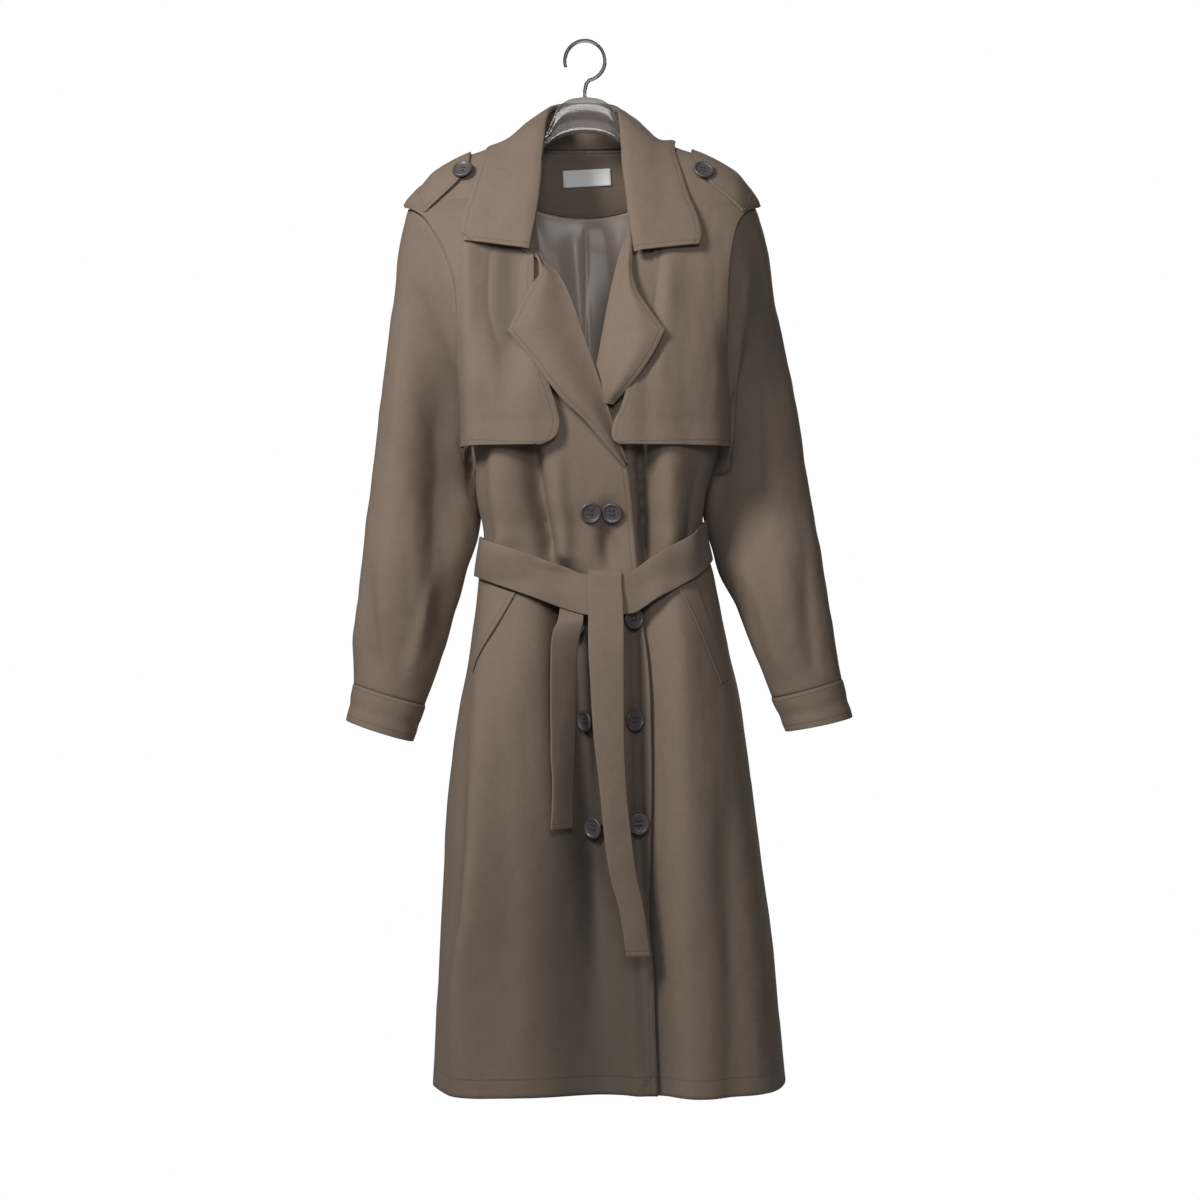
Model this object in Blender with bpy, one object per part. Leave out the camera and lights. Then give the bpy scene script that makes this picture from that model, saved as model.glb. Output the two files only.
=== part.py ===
"""A belted, double-breasted trench coat hanging on a clear hanger.

Frame: metres, +Z up, the coat's front faces -Y. The origin is the top of the inside of the
hanger's hook, where a rail would carry it. "right" and "left" are the wearer's, so the right
front lies at -X and laps over the left one.

The body is one hanging form: a ring for each height, whose half width, front depth, back depth
and centre come from BODY. A point of the form is given by an angle round the ring (0 at the
centre front, +90 degrees at the wearer's left side, 180 at the centre back) and a height.
Every cut piece is a wall laid on that form, or on a form of its own that starts from it.
"""

import math

import bmesh
import bpy
import numpy as np
from mathutils import Vector
from mathutils.bvhtree import BVHTree

for old in list(bpy.data.objects):
    bpy.data.objects.remove(old, do_unlink=True)

# Cloth and seams
CLOTH = 0.0015  # shell twill of body, sleeves and capes
LINING = 0.0010
DOUBLE = 0.0024  # two layers with interfacing: collar, lapels, belt, cuffs
SEAM = 0.0003  # gap that two sewn pieces keep

# Heights of the coat, from the hook down
SHOULDER_TIP = -0.184
ARMPIT = -0.465
WAIST = -0.540
HEM = -1.137

# Buttons and belt
BUTTON_RADIUS = 0.0115
BUTTON_THICK = 0.0034
BELT_WIDTH = 0.044

# Hook and hanger
HOOK_INNER = 0.020
HOOK_WIRE = 0.0021
HANGER_TOP = -0.060

coat = bpy.data.collections.new("trench_coat")
bpy.context.scene.collection.children.link(coat)


def material(name, colour, roughness, metallic=0.0, transmission=0.0):
    """A plain Principled finish; colour is linear RGB."""
    made = bpy.data.materials.new(name)
    made.use_nodes = True
    shader = made.node_tree.nodes["Principled BSDF"]
    shader.inputs["Base Color"].default_value = (*colour, 1.0)
    shader.inputs["Roughness"].default_value = roughness
    shader.inputs["Metallic"].default_value = metallic
    shader.inputs["Transmission Weight"].default_value = transmission
    made.diffuse_color = (*colour, 1.0)
    return made


TWILL = material("taupe_twill", (0.196, 0.150, 0.115), 0.82)
SATIN = material("taupe_satin_lining", (0.190, 0.160, 0.135), 0.38)
WHITE = material("white_label", (0.86, 0.86, 0.88), 0.60)
HORN = material("dark_horn_button", (0.050, 0.044, 0.046), 0.35)
CLEAR = material("clear_acrylic", (0.90, 0.90, 0.90), 0.06, 0.0, 0.9)
CHROME = material("bright_chrome", (0.80, 0.80, 0.82), 0.12, 1.0)

# The body's ring at each height: half width, depth in front of and behind the shoulder seam's
# plane, and the sideways place of its centre (the coat hangs a little turned)
BODY = {
    "z": (-0.104, -0.1165, -0.1235, -0.131, -0.142, -0.155, -0.168, -0.184, -0.230,
          -0.285, -0.340, -0.395, -0.450, -0.505, -0.540, -0.590, -0.668, -0.723,
          -0.833, -0.943, -1.053, -1.137),
    "half": (0.058, 0.090, 0.107, 0.1275, 0.149, 0.168, 0.182, 0.1915, 0.190,
             0.176, 0.160, 0.147, 0.1345, 0.1255, 0.121, 0.130, 0.142, 0.1536,
             0.1686, 0.1785, 0.1875, 0.1936),
    "front": (0.006, 0.016, 0.021, 0.027, 0.033, 0.040, 0.045, 0.051, 0.066,
              0.080, 0.088, 0.092, 0.090, 0.084, 0.078, 0.080, 0.092, 0.098,
              0.106, 0.113, 0.118, 0.122),
    "back": (0.050, 0.056, 0.059, 0.061, 0.063, 0.065, 0.067, 0.070, 0.076,
             0.082, 0.086, 0.088, 0.086, 0.080, 0.074, 0.076, 0.090, 0.095,
             0.106, 0.113, 0.118, 0.122),
    "centre": (0.0, 0.0, 0.0, 0.0, 0.0, 0.0, -0.001, -0.003, -0.001,
               0.002, 0.006, 0.010, 0.0125, 0.0066, 0.0088, 0.0125, 0.0165, 0.0168,
               0.0168, 0.022, 0.0248, 0.0264),
}
SQUARE = 0.06  # how far the ring is from an ellipse towards a rounded box

# Armhole seams: x on the front at the wearer's right and left, and how far the back seams lie out
ARMHOLE = {
    "z": (-0.184, -0.189, -0.200, -0.213, -0.240, -0.2635, -0.2767, -0.305, -0.349,
          -0.404, -0.448, -0.465),
    "right": (-0.1945, -0.187, -0.1745, -0.1655, -0.1515, -0.1430, -0.1398, -0.1373, -0.1345,
              -0.1295, -0.1225, -0.1202),
    "left": (0.1885, 0.180, 0.1700, 0.1645, 0.1590, 0.1560, 0.1547, 0.1530, 0.1515,
             0.1500, 0.1460, 0.1434),
    "back": (0.1915, 0.186, 0.1790, 0.1730, 0.1640, 0.1585, 0.1560, 0.1520, 0.1470,
             0.1420, 0.1350, 0.1320),
}

# Inner boundary of each front: neck seam, step at the gorge, roll line, then the front edge
EDGE_RIGHT = {
    "z": (-0.108, -0.143, -0.176, -0.215, -0.238, -0.2500, -0.2620, -0.286, -0.3145, -0.3435,
          -0.370, -0.397, -0.4218, -0.455, -0.4765, -0.509, -0.568, -0.625, -0.681, -0.737,
          -0.859, -0.942, -1.024, -1.094, -1.137),
    "x": (-0.0625, -0.0610, -0.0570, -0.0510, -0.0485, -0.0478, -0.0295, -0.0177, -0.007, 0.0026,
          0.0117, 0.0197, 0.0288, 0.0377, 0.0470, 0.0510, 0.0560, 0.0625, 0.0690, 0.0725,
          0.0745, 0.0748, 0.0800, 0.0825, 0.0835),
}
EDGE_LEFT = {
    "z": (-0.108, -0.143, -0.176, -0.200, -0.2200, -0.2400, -0.2591, -0.2899, -0.3196, -0.3471,
          -0.393, -0.437, -0.470, -0.568, -0.700, -0.900, -1.137),
    "x": (0.0625, 0.0610, 0.0570, 0.0530, 0.0470, 0.0400, 0.0330, 0.0264, 0.0204, 0.0155,
          0.0055, -0.0060, -0.0165, -0.0200, -0.0120, -0.0080, -0.0070),
}
UNDERLAP_DEPTH = 0.0060  # how far the left front lies inside the right one's lap

# Main folds of the body: side (-1 front, 1 back), x and z at the fold's two ends, how far it
# stands out (or sinks, negative) and its half width
FOLDS = (
    # side, x top, z top, x bottom, z bottom, rise, width
    (-1, -0.080, -0.440, -0.100, -0.545, 0.010, 0.016),
    (-1, -0.052, -0.440, -0.060, -0.560, -0.008, 0.011),
    (-1, -0.010, -0.430, -0.010, -0.560, 0.007, 0.022),
    (-1, -0.100, -0.600, -0.150, -1.100, 0.009, 0.030),
    (-1, -0.048, -0.580, -0.030, -0.860, -0.012, 0.016),
    (-1, 0.010, -0.760, 0.020, -1.137, -0.009, 0.028),
    (1, 0.000, -0.250, 0.008, -0.500, -0.006, 0.018),
    (1, -0.060, -0.580, -0.090, -1.137, 0.009, 0.024),
    (1, -0.020, -0.600, -0.030, -1.137, -0.010, 0.020),
    (1, 0.040, -0.580, 0.060, -1.137, 0.009, 0.022),
    (1, 0.090, -0.620, 0.120, -1.137, -0.007, 0.020),
)
# Folds of the left front alone, which start outside the lap
LEFT_FOLDS = (
    (-1, 0.062, -0.400, 0.064, -0.560, -0.014, 0.011),
    (-1, 0.084, -0.400, 0.080, -0.560, 0.009, 0.013),
    (-1, 0.092, -0.600, 0.104, -1.000, 0.009, 0.018),
    (-1, 0.135, -0.820, 0.168, -1.137, 0.007, 0.020),
)
FOLD_END = 0.060  # length over which a fold fades at its ends


def smooth(table, column, at):
    """A column of a table at any height, by a monotone cubic through its rows."""
    z = np.array(table["z"])[::-1]
    value = np.array(table[column])[::-1]
    at = np.clip(np.asarray(at, float), z[0], z[-1])
    step = np.diff(z)
    slope = np.diff(value) / step
    product = slope[:-1] * slope[1:]
    mean = np.where(product > 0, 2 * product / np.where(product > 0, slope[:-1] + slope[1:], 1.0), 0.0)
    tangent = np.concatenate([slope[:1], mean, slope[-1:]])
    k = np.clip(np.searchsorted(z, at, side="right") - 1, 0, len(step) - 1)
    t = (at - z[k]) / step[k]
    h = step[k]
    return (
        (1 + 2 * t) * (1 - t) ** 2 * value[k]
        + t * (1 - t) ** 2 * h * tangent[k]
        + t * t * (3 - 2 * t) * value[k + 1]
        + t * t * (t - 1) * h * tangent[k + 1]
    )


def ease(t):
    """0 to 1 with a smooth start and end."""
    t = np.clip(t, 0.0, 1.0)
    return t * t * (3 - 2 * t)


def fold_rise(folds, side, x, z):
    """How far the folds of one table push the surface out at (x, z)."""
    rise = np.zeros(np.broadcast(x, z).shape)
    for facing, x_top, z_top, x_low, z_low, height, width in folds:
        along = (z_top - z) / (z_top - z_low)
        middle = x_top + (x_low - x_top) * np.clip(along, 0, 1)
        fade = ease((z_top + FOLD_END - z) / FOLD_END) * ease((z - z_low + FOLD_END) / FOLD_END)
        rise = rise + np.where(side == facing, height * fade * np.exp(-(((x - middle) / width) ** 2)), 0)
    return rise


def across(angle):
    """Share of the half width, and of the depth, at an angle round a ring."""
    wide = (np.sin(angle) + SQUARE * np.sin(3 * angle)) / (1 - SQUARE)
    deep = (np.cos(angle) - SQUARE * np.cos(3 * angle)) / (1 - SQUARE)
    return wide, deep


def ring(table, angle, z):
    """A plain ring of a table, before its folds."""
    wide, deep = across(angle)
    depth = np.where(deep > 0, smooth(table, "front", z), smooth(table, "back", z))
    x = smooth(table, "centre", z) + smooth(table, "half", z) * wide
    return np.stack([x, -depth * deep, z + 0 * x], axis=-1)


def normal(form, angle, z, step=1e-4):
    """Outward normal of a form, from points a little to each side."""
    round_it = form(angle + step, z) - form(angle - step, z)
    down = form(angle, z - step) - form(angle, z + step)
    n = np.cross(down, round_it)
    return n / np.maximum(np.linalg.norm(n, axis=-1, keepdims=True), 1e-12)


def body(angle, z):
    """The coat's body with its main folds."""
    angle, z = np.broadcast_arrays(np.asarray(angle, float), np.asarray(z, float))
    plain = ring(BODY, angle, z)
    wide, deep = across(angle)
    # Folds push along the ring's own flat normal and die out at the side seams
    out = np.stack([wide, -deep, 0 * wide], axis=-1)
    rise = fold_rise(FOLDS, np.where(deep > 0, -1, 1), plain[..., 0], z)
    return plain + out * (rise * ease(np.abs(deep) / 0.35))[..., None]


def on(form, angle, z, out=0.0):
    """A form's point moved out along its normal."""
    angle, z = np.broadcast_arrays(np.asarray(angle, float), np.asarray(z, float))
    return form(angle, z) + normal(form, angle, z) * np.asarray(out)[..., None]


QUARTER = np.linspace(-math.pi / 2, math.pi / 2, 361)


def angle_at(x, z, behind=False):
    """The angle of the body ring whose point has this x, in front or behind."""
    x, z = np.broadcast_arrays(np.asarray(x, float), np.asarray(z, float))
    share = np.clip((x - smooth(BODY, "centre", z)) / smooth(BODY, "half", z), -1, 1)
    angle = np.interp(share, across(QUARTER)[0], QUARTER)
    if behind:
        return np.where(angle < 0, -math.pi - angle, math.pi - angle)
    return angle


def wall(name, outer, inner, finish, tube=False):
    """A closed wall between two skins of the same rows and columns; a tube joins its last column
    to its first. Columns run round the form and rows run down it, so faces point outwards."""
    rows, columns = outer.shape[:2]
    shell = bmesh.new()
    skins = [[[shell.verts.new(p) for p in row] for row in skin] for skin in (outer, inner)]
    last = columns if tube else columns - 1

    def quad(a, b, c, d):
        shell.faces.new((a, b, c))
        shell.faces.new((a, c, d))

    out, lining = skins
    for i in range(rows - 1):
        for j in range(last):
            k = (j + 1) % columns
            quad(out[i][j], out[i + 1][j], out[i + 1][k], out[i][k])
            quad(lining[i][j], lining[i][k], lining[i + 1][k], lining[i + 1][j])
    for j in range(last):
        k = (j + 1) % columns
        quad(out[0][j], out[0][k], lining[0][k], lining[0][j])
        quad(out[-1][j], lining[-1][j], lining[-1][k], out[-1][k])
    if not tube:
        for i in range(rows - 1):
            quad(out[i][0], lining[i][0], lining[i + 1][0], out[i + 1][0])
            quad(out[i][-1], out[i + 1][-1], lining[i + 1][-1], lining[i][-1])
    return finished(name, shell, finish)


def finished(name, shell, finish):
    """Turns a bmesh into an object of the coat and shades it."""
    mesh = bpy.data.meshes.new(name)
    shell.to_mesh(mesh)
    shell.free()
    mesh.materials.append(finish)
    mesh.shade_smooth()
    mesh.set_sharp_from_angle(angle=math.radians(50))
    piece = bpy.data.objects.new(name, mesh)
    coat.objects.link(piece)
    return piece


def grid_normals(points, tube=False):
    """Outward normals of a grid of points, from their neighbours."""
    if tube:
        round_it = np.roll(points, -1, axis=1) - np.roll(points, 1, axis=1)
    else:
        round_it = np.gradient(points, axis=1)
    n = np.cross(np.gradient(points, axis=0), round_it)
    return n / np.maximum(np.linalg.norm(n, axis=-1, keepdims=True), 1e-12)


# Heights at which all the body's panels have a row of points, so that seams match
SHOULDER_ROWS = (-0.108, -0.120, -0.133, -0.148, -0.165, SHOULDER_TIP)
ARMHOLE_ROWS = (-0.198, -0.222, -0.252, -0.286, -0.320, -0.356, -0.396, -0.434, ARMPIT)
SKIRT_ROWS = (-0.492, -0.520, -0.550, -0.585, -0.635, -0.695, -0.770, -0.855, -0.945, -1.040, HEM)
ROWS = np.array(SHOULDER_ROWS + ARMHOLE_ROWS + SKIRT_ROWS)


def seam_angle(z, gap=SEAM / 2):
    """The angle that a gap takes at the side seam, where the ring runs front to back."""
    return gap / (smooth(BODY, "front", z) * (1 + 3 * SQUARE) / (1 - SQUARE))


def side_edge(z, side, behind=False):
    """Angle of a panel's outer edge: shoulder seam, armhole seam, then side seam."""
    plain = side * (math.pi / 2 - seam_angle(z) * (-1 if behind else 1))
    if behind:
        x = smooth(ARMHOLE, "back", z)
        x = side * x + smooth(BODY, "centre", z)
    else:
        x = smooth(ARMHOLE, "left" if side > 0 else "right", z)
    cut = angle_at(x, z, behind)
    in_armhole = (z < SHOULDER_TIP + 1e-6) & (z > ARMPIT + 1e-6)
    if behind:
        return np.where(in_armhole, np.where(side > 0, np.maximum(cut, plain), np.minimum(cut, plain)), plain)
    return np.where(in_armhole, np.where(side > 0, np.minimum(cut, plain), np.maximum(cut, plain)), plain)


def lap_sink(x, z):
    """How far the left front lies in: under the lap and a little past its edge."""
    edge = smooth(EDGE_RIGHT, "x", z)
    return UNDERLAP_DEPTH * (1 - ease((x - edge - 0.006) / 0.030))


def left_body(angle, z):
    """The left front's form: the body, sunk under the right front's lap, with folds outside it."""
    p = body(angle, z)
    x = p[..., 0]
    rise = fold_rise(LEFT_FOLDS, -1, x, z) * ease((x - smooth(EDGE_RIGHT, "x", z)) / 0.014)
    return p + normal(body, angle, z) * (rise - lap_sink(x, z))[..., None]


def panel_angles(z, first, last, columns):
    """Angles of a panel's columns at each row."""
    share = np.linspace(0, 1, columns)[None, :]
    return first[:, None] + (last - first)[:, None] * share


def body_panels():
    z = ROWS
    level = z[:, None]
    right = panel_angles(z, side_edge(z, -1), angle_at(smooth(EDGE_RIGHT, "x", z), z), 12)
    wall("front_right", on(body, right, level), on(body, right, level, -CLOTH), TWILL)
    left = panel_angles(z, angle_at(smooth(EDGE_LEFT, "x", z), z), side_edge(z, 1), 12)
    wall("front_left", on(left_body, left, level), on(left_body, left, level, -CLOTH), TWILL)
    # The back is cut in two halves, which meet at the centre seam
    half_gap = SEAM / 2 / (smooth(BODY, "half", z) * (1 + 3 * SQUARE) / (1 - SQUARE))
    halves = (
        ("back_left", side_edge(z, 1, behind=True), math.pi - half_gap),
        ("back_right", math.pi + half_gap, side_edge(z, -1, behind=True) + 2 * math.pi),
    )
    for name, first, last in halves:
        angle = panel_angles(z, first, last, 8)
        wall(name, on(body, angle, level), on(body, angle, level, -CLOTH), TWILL)


body_panels()

# Sleeve rings below the armhole: x and z of the outer and the inner edge, y of the middle, half
# depth front to back, and how much of the armhole's own bend a ring keeps
SLEEVE_RIGHT = (
    # outer x, outer z, inner x, inner z, middle y, half depth, bend
    (-0.2035, -0.2228, -0.1255, -0.4720, 0.010, 0.047, 0.70),
    (-0.2112, -0.2833, -0.1262, -0.4850, 0.020, 0.043, 0.40),
    (-0.2200, -0.3493, -0.1262, -0.5010, 0.026, 0.041, 0.15),
    (-0.2299, -0.4263, -0.1250, -0.5200, 0.024, 0.041, 0.02),
    (-0.2354, -0.4868, -0.1245, -0.5420, 0.018, 0.041, 0.0),
    (-0.2442, -0.5693, -0.1317, -0.5803, 0.004, 0.041, 0.0),
    (-0.2497, -0.6243, -0.1427, -0.6243, -0.003, 0.039, 0.0),
    (-0.2530, -0.6628, -0.1548, -0.6700, -0.008, 0.036, 0.0),
    (-0.2525, -0.7035, -0.1749, -0.7277, -0.012, 0.032, 0.0),
)
SLEEVE_LEFT = (
    (0.2046, -0.2228, 0.1490, -0.4720, 0.010, 0.047, 0.70),
    (0.2134, -0.2833, 0.1480, -0.4850, 0.020, 0.043, 0.40),
    (0.2266, -0.3493, 0.1450, -0.5010, 0.026, 0.041, 0.15),
    (0.2398, -0.4263, 0.1395, -0.5200, 0.024, 0.041, 0.02),
    (0.2486, -0.4923, 0.1365, -0.5460, 0.018, 0.041, 0.0),
    (0.2618, -0.5693, 0.1465, -0.5858, 0.004, 0.041, 0.0),
    (0.2695, -0.6243, 0.1672, -0.6243, -0.003, 0.039, 0.0),
    (0.2761, -0.6683, 0.1837, -0.6661, -0.008, 0.036, 0.0),
    (0.2805, -0.6991, 0.2046, -0.7200, -0.012, 0.032, 0.0),
)
# Cuff: its lower ring, in the same columns, just wider than the sleeve's end
CUFF_RIGHT = (-0.2596, -0.7442, -0.1890, -0.7670, -0.014, 0.033, 0.0)
CUFF_LEFT = (0.2915, -0.7409, 0.2210, -0.7560, -0.014, 0.033, 0.0)
CUFF_RAISE = 0.0012  # how far the cuff's outside stands proud of the sleeve
SEAM_STEP = np.array((0.0004, 0.0, -0.0004))  # from the armhole seam to the sleeve's first row


def oval(station, turn):
    """Points round a sleeve ring; turn 0 is its outer edge and a quarter turn is its front."""
    x_out, z_out, x_in, z_in, y, depth, _ = station
    middle = np.array([(x_out + x_in) / 2, y, (z_out + z_in) / 2])
    reach = np.array([(x_out - x_in) / 2, 0.0, (z_out - z_in) / 2])
    return middle + np.cos(turn)[:, None] * reach - np.sin(turn)[:, None] * np.array([0.0, depth, 0.0])


def armhole(side, out):
    """The armhole seam as a closed ring, from the shoulder tip by the front to the armpit and up
    the back, and the turn of each point."""
    z = np.array((SHOULDER_TIP,) + ARMHOLE_ROWS)
    front_form = left_body if side > 0 else body
    front = on(front_form, side_edge(z, side), z, out)
    back = on(body, side_edge(z, side, behind=True), z, out)
    middle, half = (SHOULDER_TIP + ARMPIT) / 2, (SHOULDER_TIP - ARMPIT) / 2
    turn = np.arccos(np.clip((z - middle) / half, -1, 1))
    points = np.concatenate([front, back[-2:0:-1]])
    turns = np.concatenate([turn, 2 * math.pi - turn[-2:0:-1]])
    points[0] = (front[0] + back[0]) / 2
    points[len(z) - 1] = (front[-1] + back[-1]) / 2
    return points, turns


def sleeve(name, side, stations, cuff_name, cuff_station):
    seam, turn = armhole(side, 0.0)
    seam_inside, _ = armhole(side, -CLOTH)
    shift = SEAM_STEP * (side, 0, 1)
    first = (side * 0.1945, SHOULDER_TIP, side * 0.118, ARMPIT, 0.0, 0.046, 1.0)
    bend = seam - oval(first, turn)
    rings = [seam + shift] + [oval(s, turn) + s[-1] * bend for s in stations]
    points = np.array(rings)
    n = grid_normals(points, tube=True) * (1 if side < 0 else -1)
    inside = points - n * CLOTH
    # At the shoulder the first row continues the body's wall; at the armpit it folds back from it
    carried = ease((np.cos(turn) + 0.7) / 1.2)[:, None]
    inside[0] = (seam_inside + shift) * carried + inside[0] * (1 - carried)
    way = slice(None) if side < 0 else slice(None, None, -1)
    wall(name, points[:, way], inside[:, way], TWILL, tube=True)
    cuff(cuff_name, side, stations[-1], cuff_station)


def cuff(name, side, top, bottom):
    """A band round the wrist, open at a slit on its inner edge."""
    slit = math.radians(4)
    turn = np.linspace(math.pi + slit, 3 * math.pi - slit, 15)
    share = np.array([0.0, 0.25, 1.0])
    rows = [oval(np.array(top) * (1 - s) + np.array(bottom) * s, turn) for s in share]
    points = np.array(rows)
    points[:, :, 2] -= SEAM + 0.0001
    n = grid_normals(points) * (1 if side < 0 else -1)
    way = slice(None) if side < 0 else slice(None, None, -1)
    proud = np.array([0.4, 1.0, 1.0])[:, None, None] * CUFF_RAISE
    outer = points + n * proud
    wall(name, outer[:, way], (outer - n * DOUBLE)[:, way], TWILL)


sleeve("sleeve_right", -1, SLEEVE_RIGHT, "cuff_right", CUFF_RIGHT)
sleeve("sleeve_left", 1, SLEEVE_LEFT, "cuff_left", CUFF_LEFT)

# Storm flaps: capes sewn in the shoulder seam and armhole, hanging free below from their own ring.
# Inner edge x, ring half width and front depth, how far the ring's centre lies forward, and the
# angle at which the free edge ends once it has turned back
CAPE = {
    "z": (-0.120, -0.184, -0.250, -0.305, -0.350, -0.385, -0.412, -0.426, -0.438, -0.4455, -0.449),
    "right_edge": (-0.0700, -0.0730, -0.0730, -0.0640, -0.0500, -0.0375, -0.0290, -0.0263, -0.0290,
                   -0.0370, -0.0460),
    "left_edge": (0.0700, 0.0730, 0.0730, 0.0660, 0.0560, 0.0460, 0.0375, 0.0305, 0.0285,
                  0.0310, 0.0380),
    "half": (0.107, 0.150, 0.168, 0.1560, 0.1465, 0.1455, 0.1450, 0.1452, 0.1455, 0.1455, 0.1455),
    "centre": (0.0, 0.0, 0.005, 0.0065, 0.0075, 0.0095, 0.0110, 0.0112, 0.0115, 0.0115, 0.0115),
    "front": (0.022, 0.052, 0.060, 0.058, 0.0580, 0.058, 0.058, 0.058, 0.058, 0.058, 0.058),
    "forward": (0.0, 0.0, -0.024, -0.038, -0.044, -0.045, -0.044, -0.043, -0.043, -0.043, -0.043),
    "end": (90.0, 90.0, 60.0, 64.0, 80.0, 88.0, 93.0, 95.0, 98.0, 100.0, 101.0),
}
CAPE_FREE = -0.290  # height where the cape leaves the armhole seam
CAPE_LIFT = 0.0044  # the cape's outside above the body's outside
CAPE_FOLDS = (
    (-1, -0.122, -0.215, -0.124, -0.400, 0.007, 0.013),
    (-1, -0.070, -0.220, -0.070, -0.360, 0.005, 0.016),
    (-1, 0.094, -0.215, 0.096, -0.400, 0.007, 0.012),
    (-1, 0.050, -0.300, 0.052, -0.440, 0.004, 0.016),
)
CAPE_INSET = 0.035  # angle by which the cape stops short of the armhole seam
CAPE_RETURN = 0.030  # depth of the ring behind its centre, where the edge turns back


def cape(side, share, z, out=0.0):
    """A cape's surface: share 0 at its inner edge, 1 at the armhole seam or the free edge."""
    share, z = np.broadcast_arrays(np.asarray(share, float), np.asarray(z, float))
    form = left_body if side > 0 else body
    edge = smooth(CAPE, "left_edge" if side > 0 else "right_edge", z)
    end = side_edge(z, side) - side * CAPE_INSET
    start = angle_at(edge, z)
    sewn = on(form, start + (end - start) * share, z, CAPE_LIFT + out)
    half, centre = smooth(CAPE, "half", z), smooth(CAPE, "centre", z)
    first = np.interp(np.clip((edge - centre) / half, -1, 1), across(QUARTER)[0], QUARTER)
    angle = first + (side * np.radians(smooth(CAPE, "end", z)) - first) * share
    wide, deep = across(angle)
    depth = np.where(deep > 0, smooth(CAPE, "front", z), CAPE_RETURN) + out
    x = centre + (half + out) * wide
    free = np.stack([x, smooth(CAPE, "forward", z) - depth * deep, z], axis=-1)
    blend = ease((CAPE_FREE - z) / 0.100)[..., None]
    p = sewn * (1 - blend) + free * blend
    rise = fold_rise(CAPE_FOLDS, -1, p[..., 0], z) * ease((np.abs(deep) - 0.15) / 0.4)
    p[..., 1] -= rise
    return p


CAPE_ROWS = np.array(SHOULDER_ROWS[1:] + ARMHOLE_ROWS[:7] + (-0.418, -0.438, -0.4455, -0.449))


def storm_flap(name, side):
    share = np.linspace(0, 1, 10)[None, :] ** 0.75
    outer = cape(side, share, CAPE_ROWS[:, None])
    n = grid_normals(outer) * side
    inner = outer - n * CLOTH
    way = slice(None) if side > 0 else slice(None, None, -1)
    wall(name, outer[:, way], inner[:, way], TWILL)


storm_flap("storm_flap_right", -1)
storm_flap("storm_flap_left", 1)

# Lapels, row by row from the gorge to the break: x and z at the roll line and at the outer edge
LAPEL_RIGHT = {
    "roll_x": (-0.0326, -0.0229, -0.0143, -0.0047, 0.0038, 0.0133, 0.0228, 0.0344, 0.0445),
    "roll_z": (-0.2570, -0.2759, -0.2970, -0.3243, -0.3491, -0.3780, -0.4067, -0.4425, -0.4680),
    "edge_x": (-0.0432, -0.0557, -0.0681, -0.0806, -0.0540, -0.0276, 0.0007, 0.0249, 0.0425),
    "edge_z": (-0.2574, -0.2823, -0.3065, -0.3295, -0.3618, -0.3969, -0.4242, -0.4524, -0.4725),
    "lift": (0.006, 0.011, 0.015, 0.018, 0.018, 0.015, 0.012, 0.009, 0.006),
}
LAPEL_LEFT = {
    "roll_x": (0.0480, 0.0400, 0.0325, 0.0260, 0.0202, 0.0165, 0.0155, 0.0230, 0.0300),
    "roll_z": (-0.2195, -0.2398, -0.2709, -0.3015, -0.3306, -0.3540, -0.3690, -0.3920, -0.4110),
    "edge_x": (0.0515, 0.0506, 0.0547, 0.0683, 0.0840, 0.0735, 0.0610, 0.0480, 0.0350),
    "edge_z": (-0.2300, -0.2589, -0.2823, -0.3055, -0.3295, -0.3520, -0.3730, -0.3960, -0.4120),
    "lift": (0.004, 0.008, 0.012, 0.017, 0.020, 0.021, 0.021, 0.020, 0.015),
}
ROLL_LIFT = 0.0030


def lapel(name, side, table):
    """The turned-back front edge: a double sheet from the roll line to its peak and lower edge."""
    share = np.linspace(0, 1, 6)[None, :]
    x = np.outer(table["roll_x"], 1 - share[0]) + np.outer(table["edge_x"], share[0])
    z = np.outer(table["roll_z"], 1 - share[0]) + np.outer(table["edge_z"], share[0])
    edge_lift = np.array(table["lift"])[:, None]
    roll_lift = np.minimum(ROLL_LIFT, edge_lift)
    plain = body(angle_at(x, z), z)[..., 1]
    lift = roll_lift + (edge_lift - roll_lift) * ease(share / 0.75)
    points = np.stack([x, plain - lift, z], axis=-1)
    # Columns run towards +X, whichever way the lapel turns back
    points = points[:, ::-1] if side < 0 else points
    wall(name, points, points + np.array((0.0, DOUBLE, 0.0)), TWILL)


lapel("lapel_right", -1, LAPEL_RIGHT)
lapel("lapel_left", 1, LAPEL_LEFT)

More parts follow.
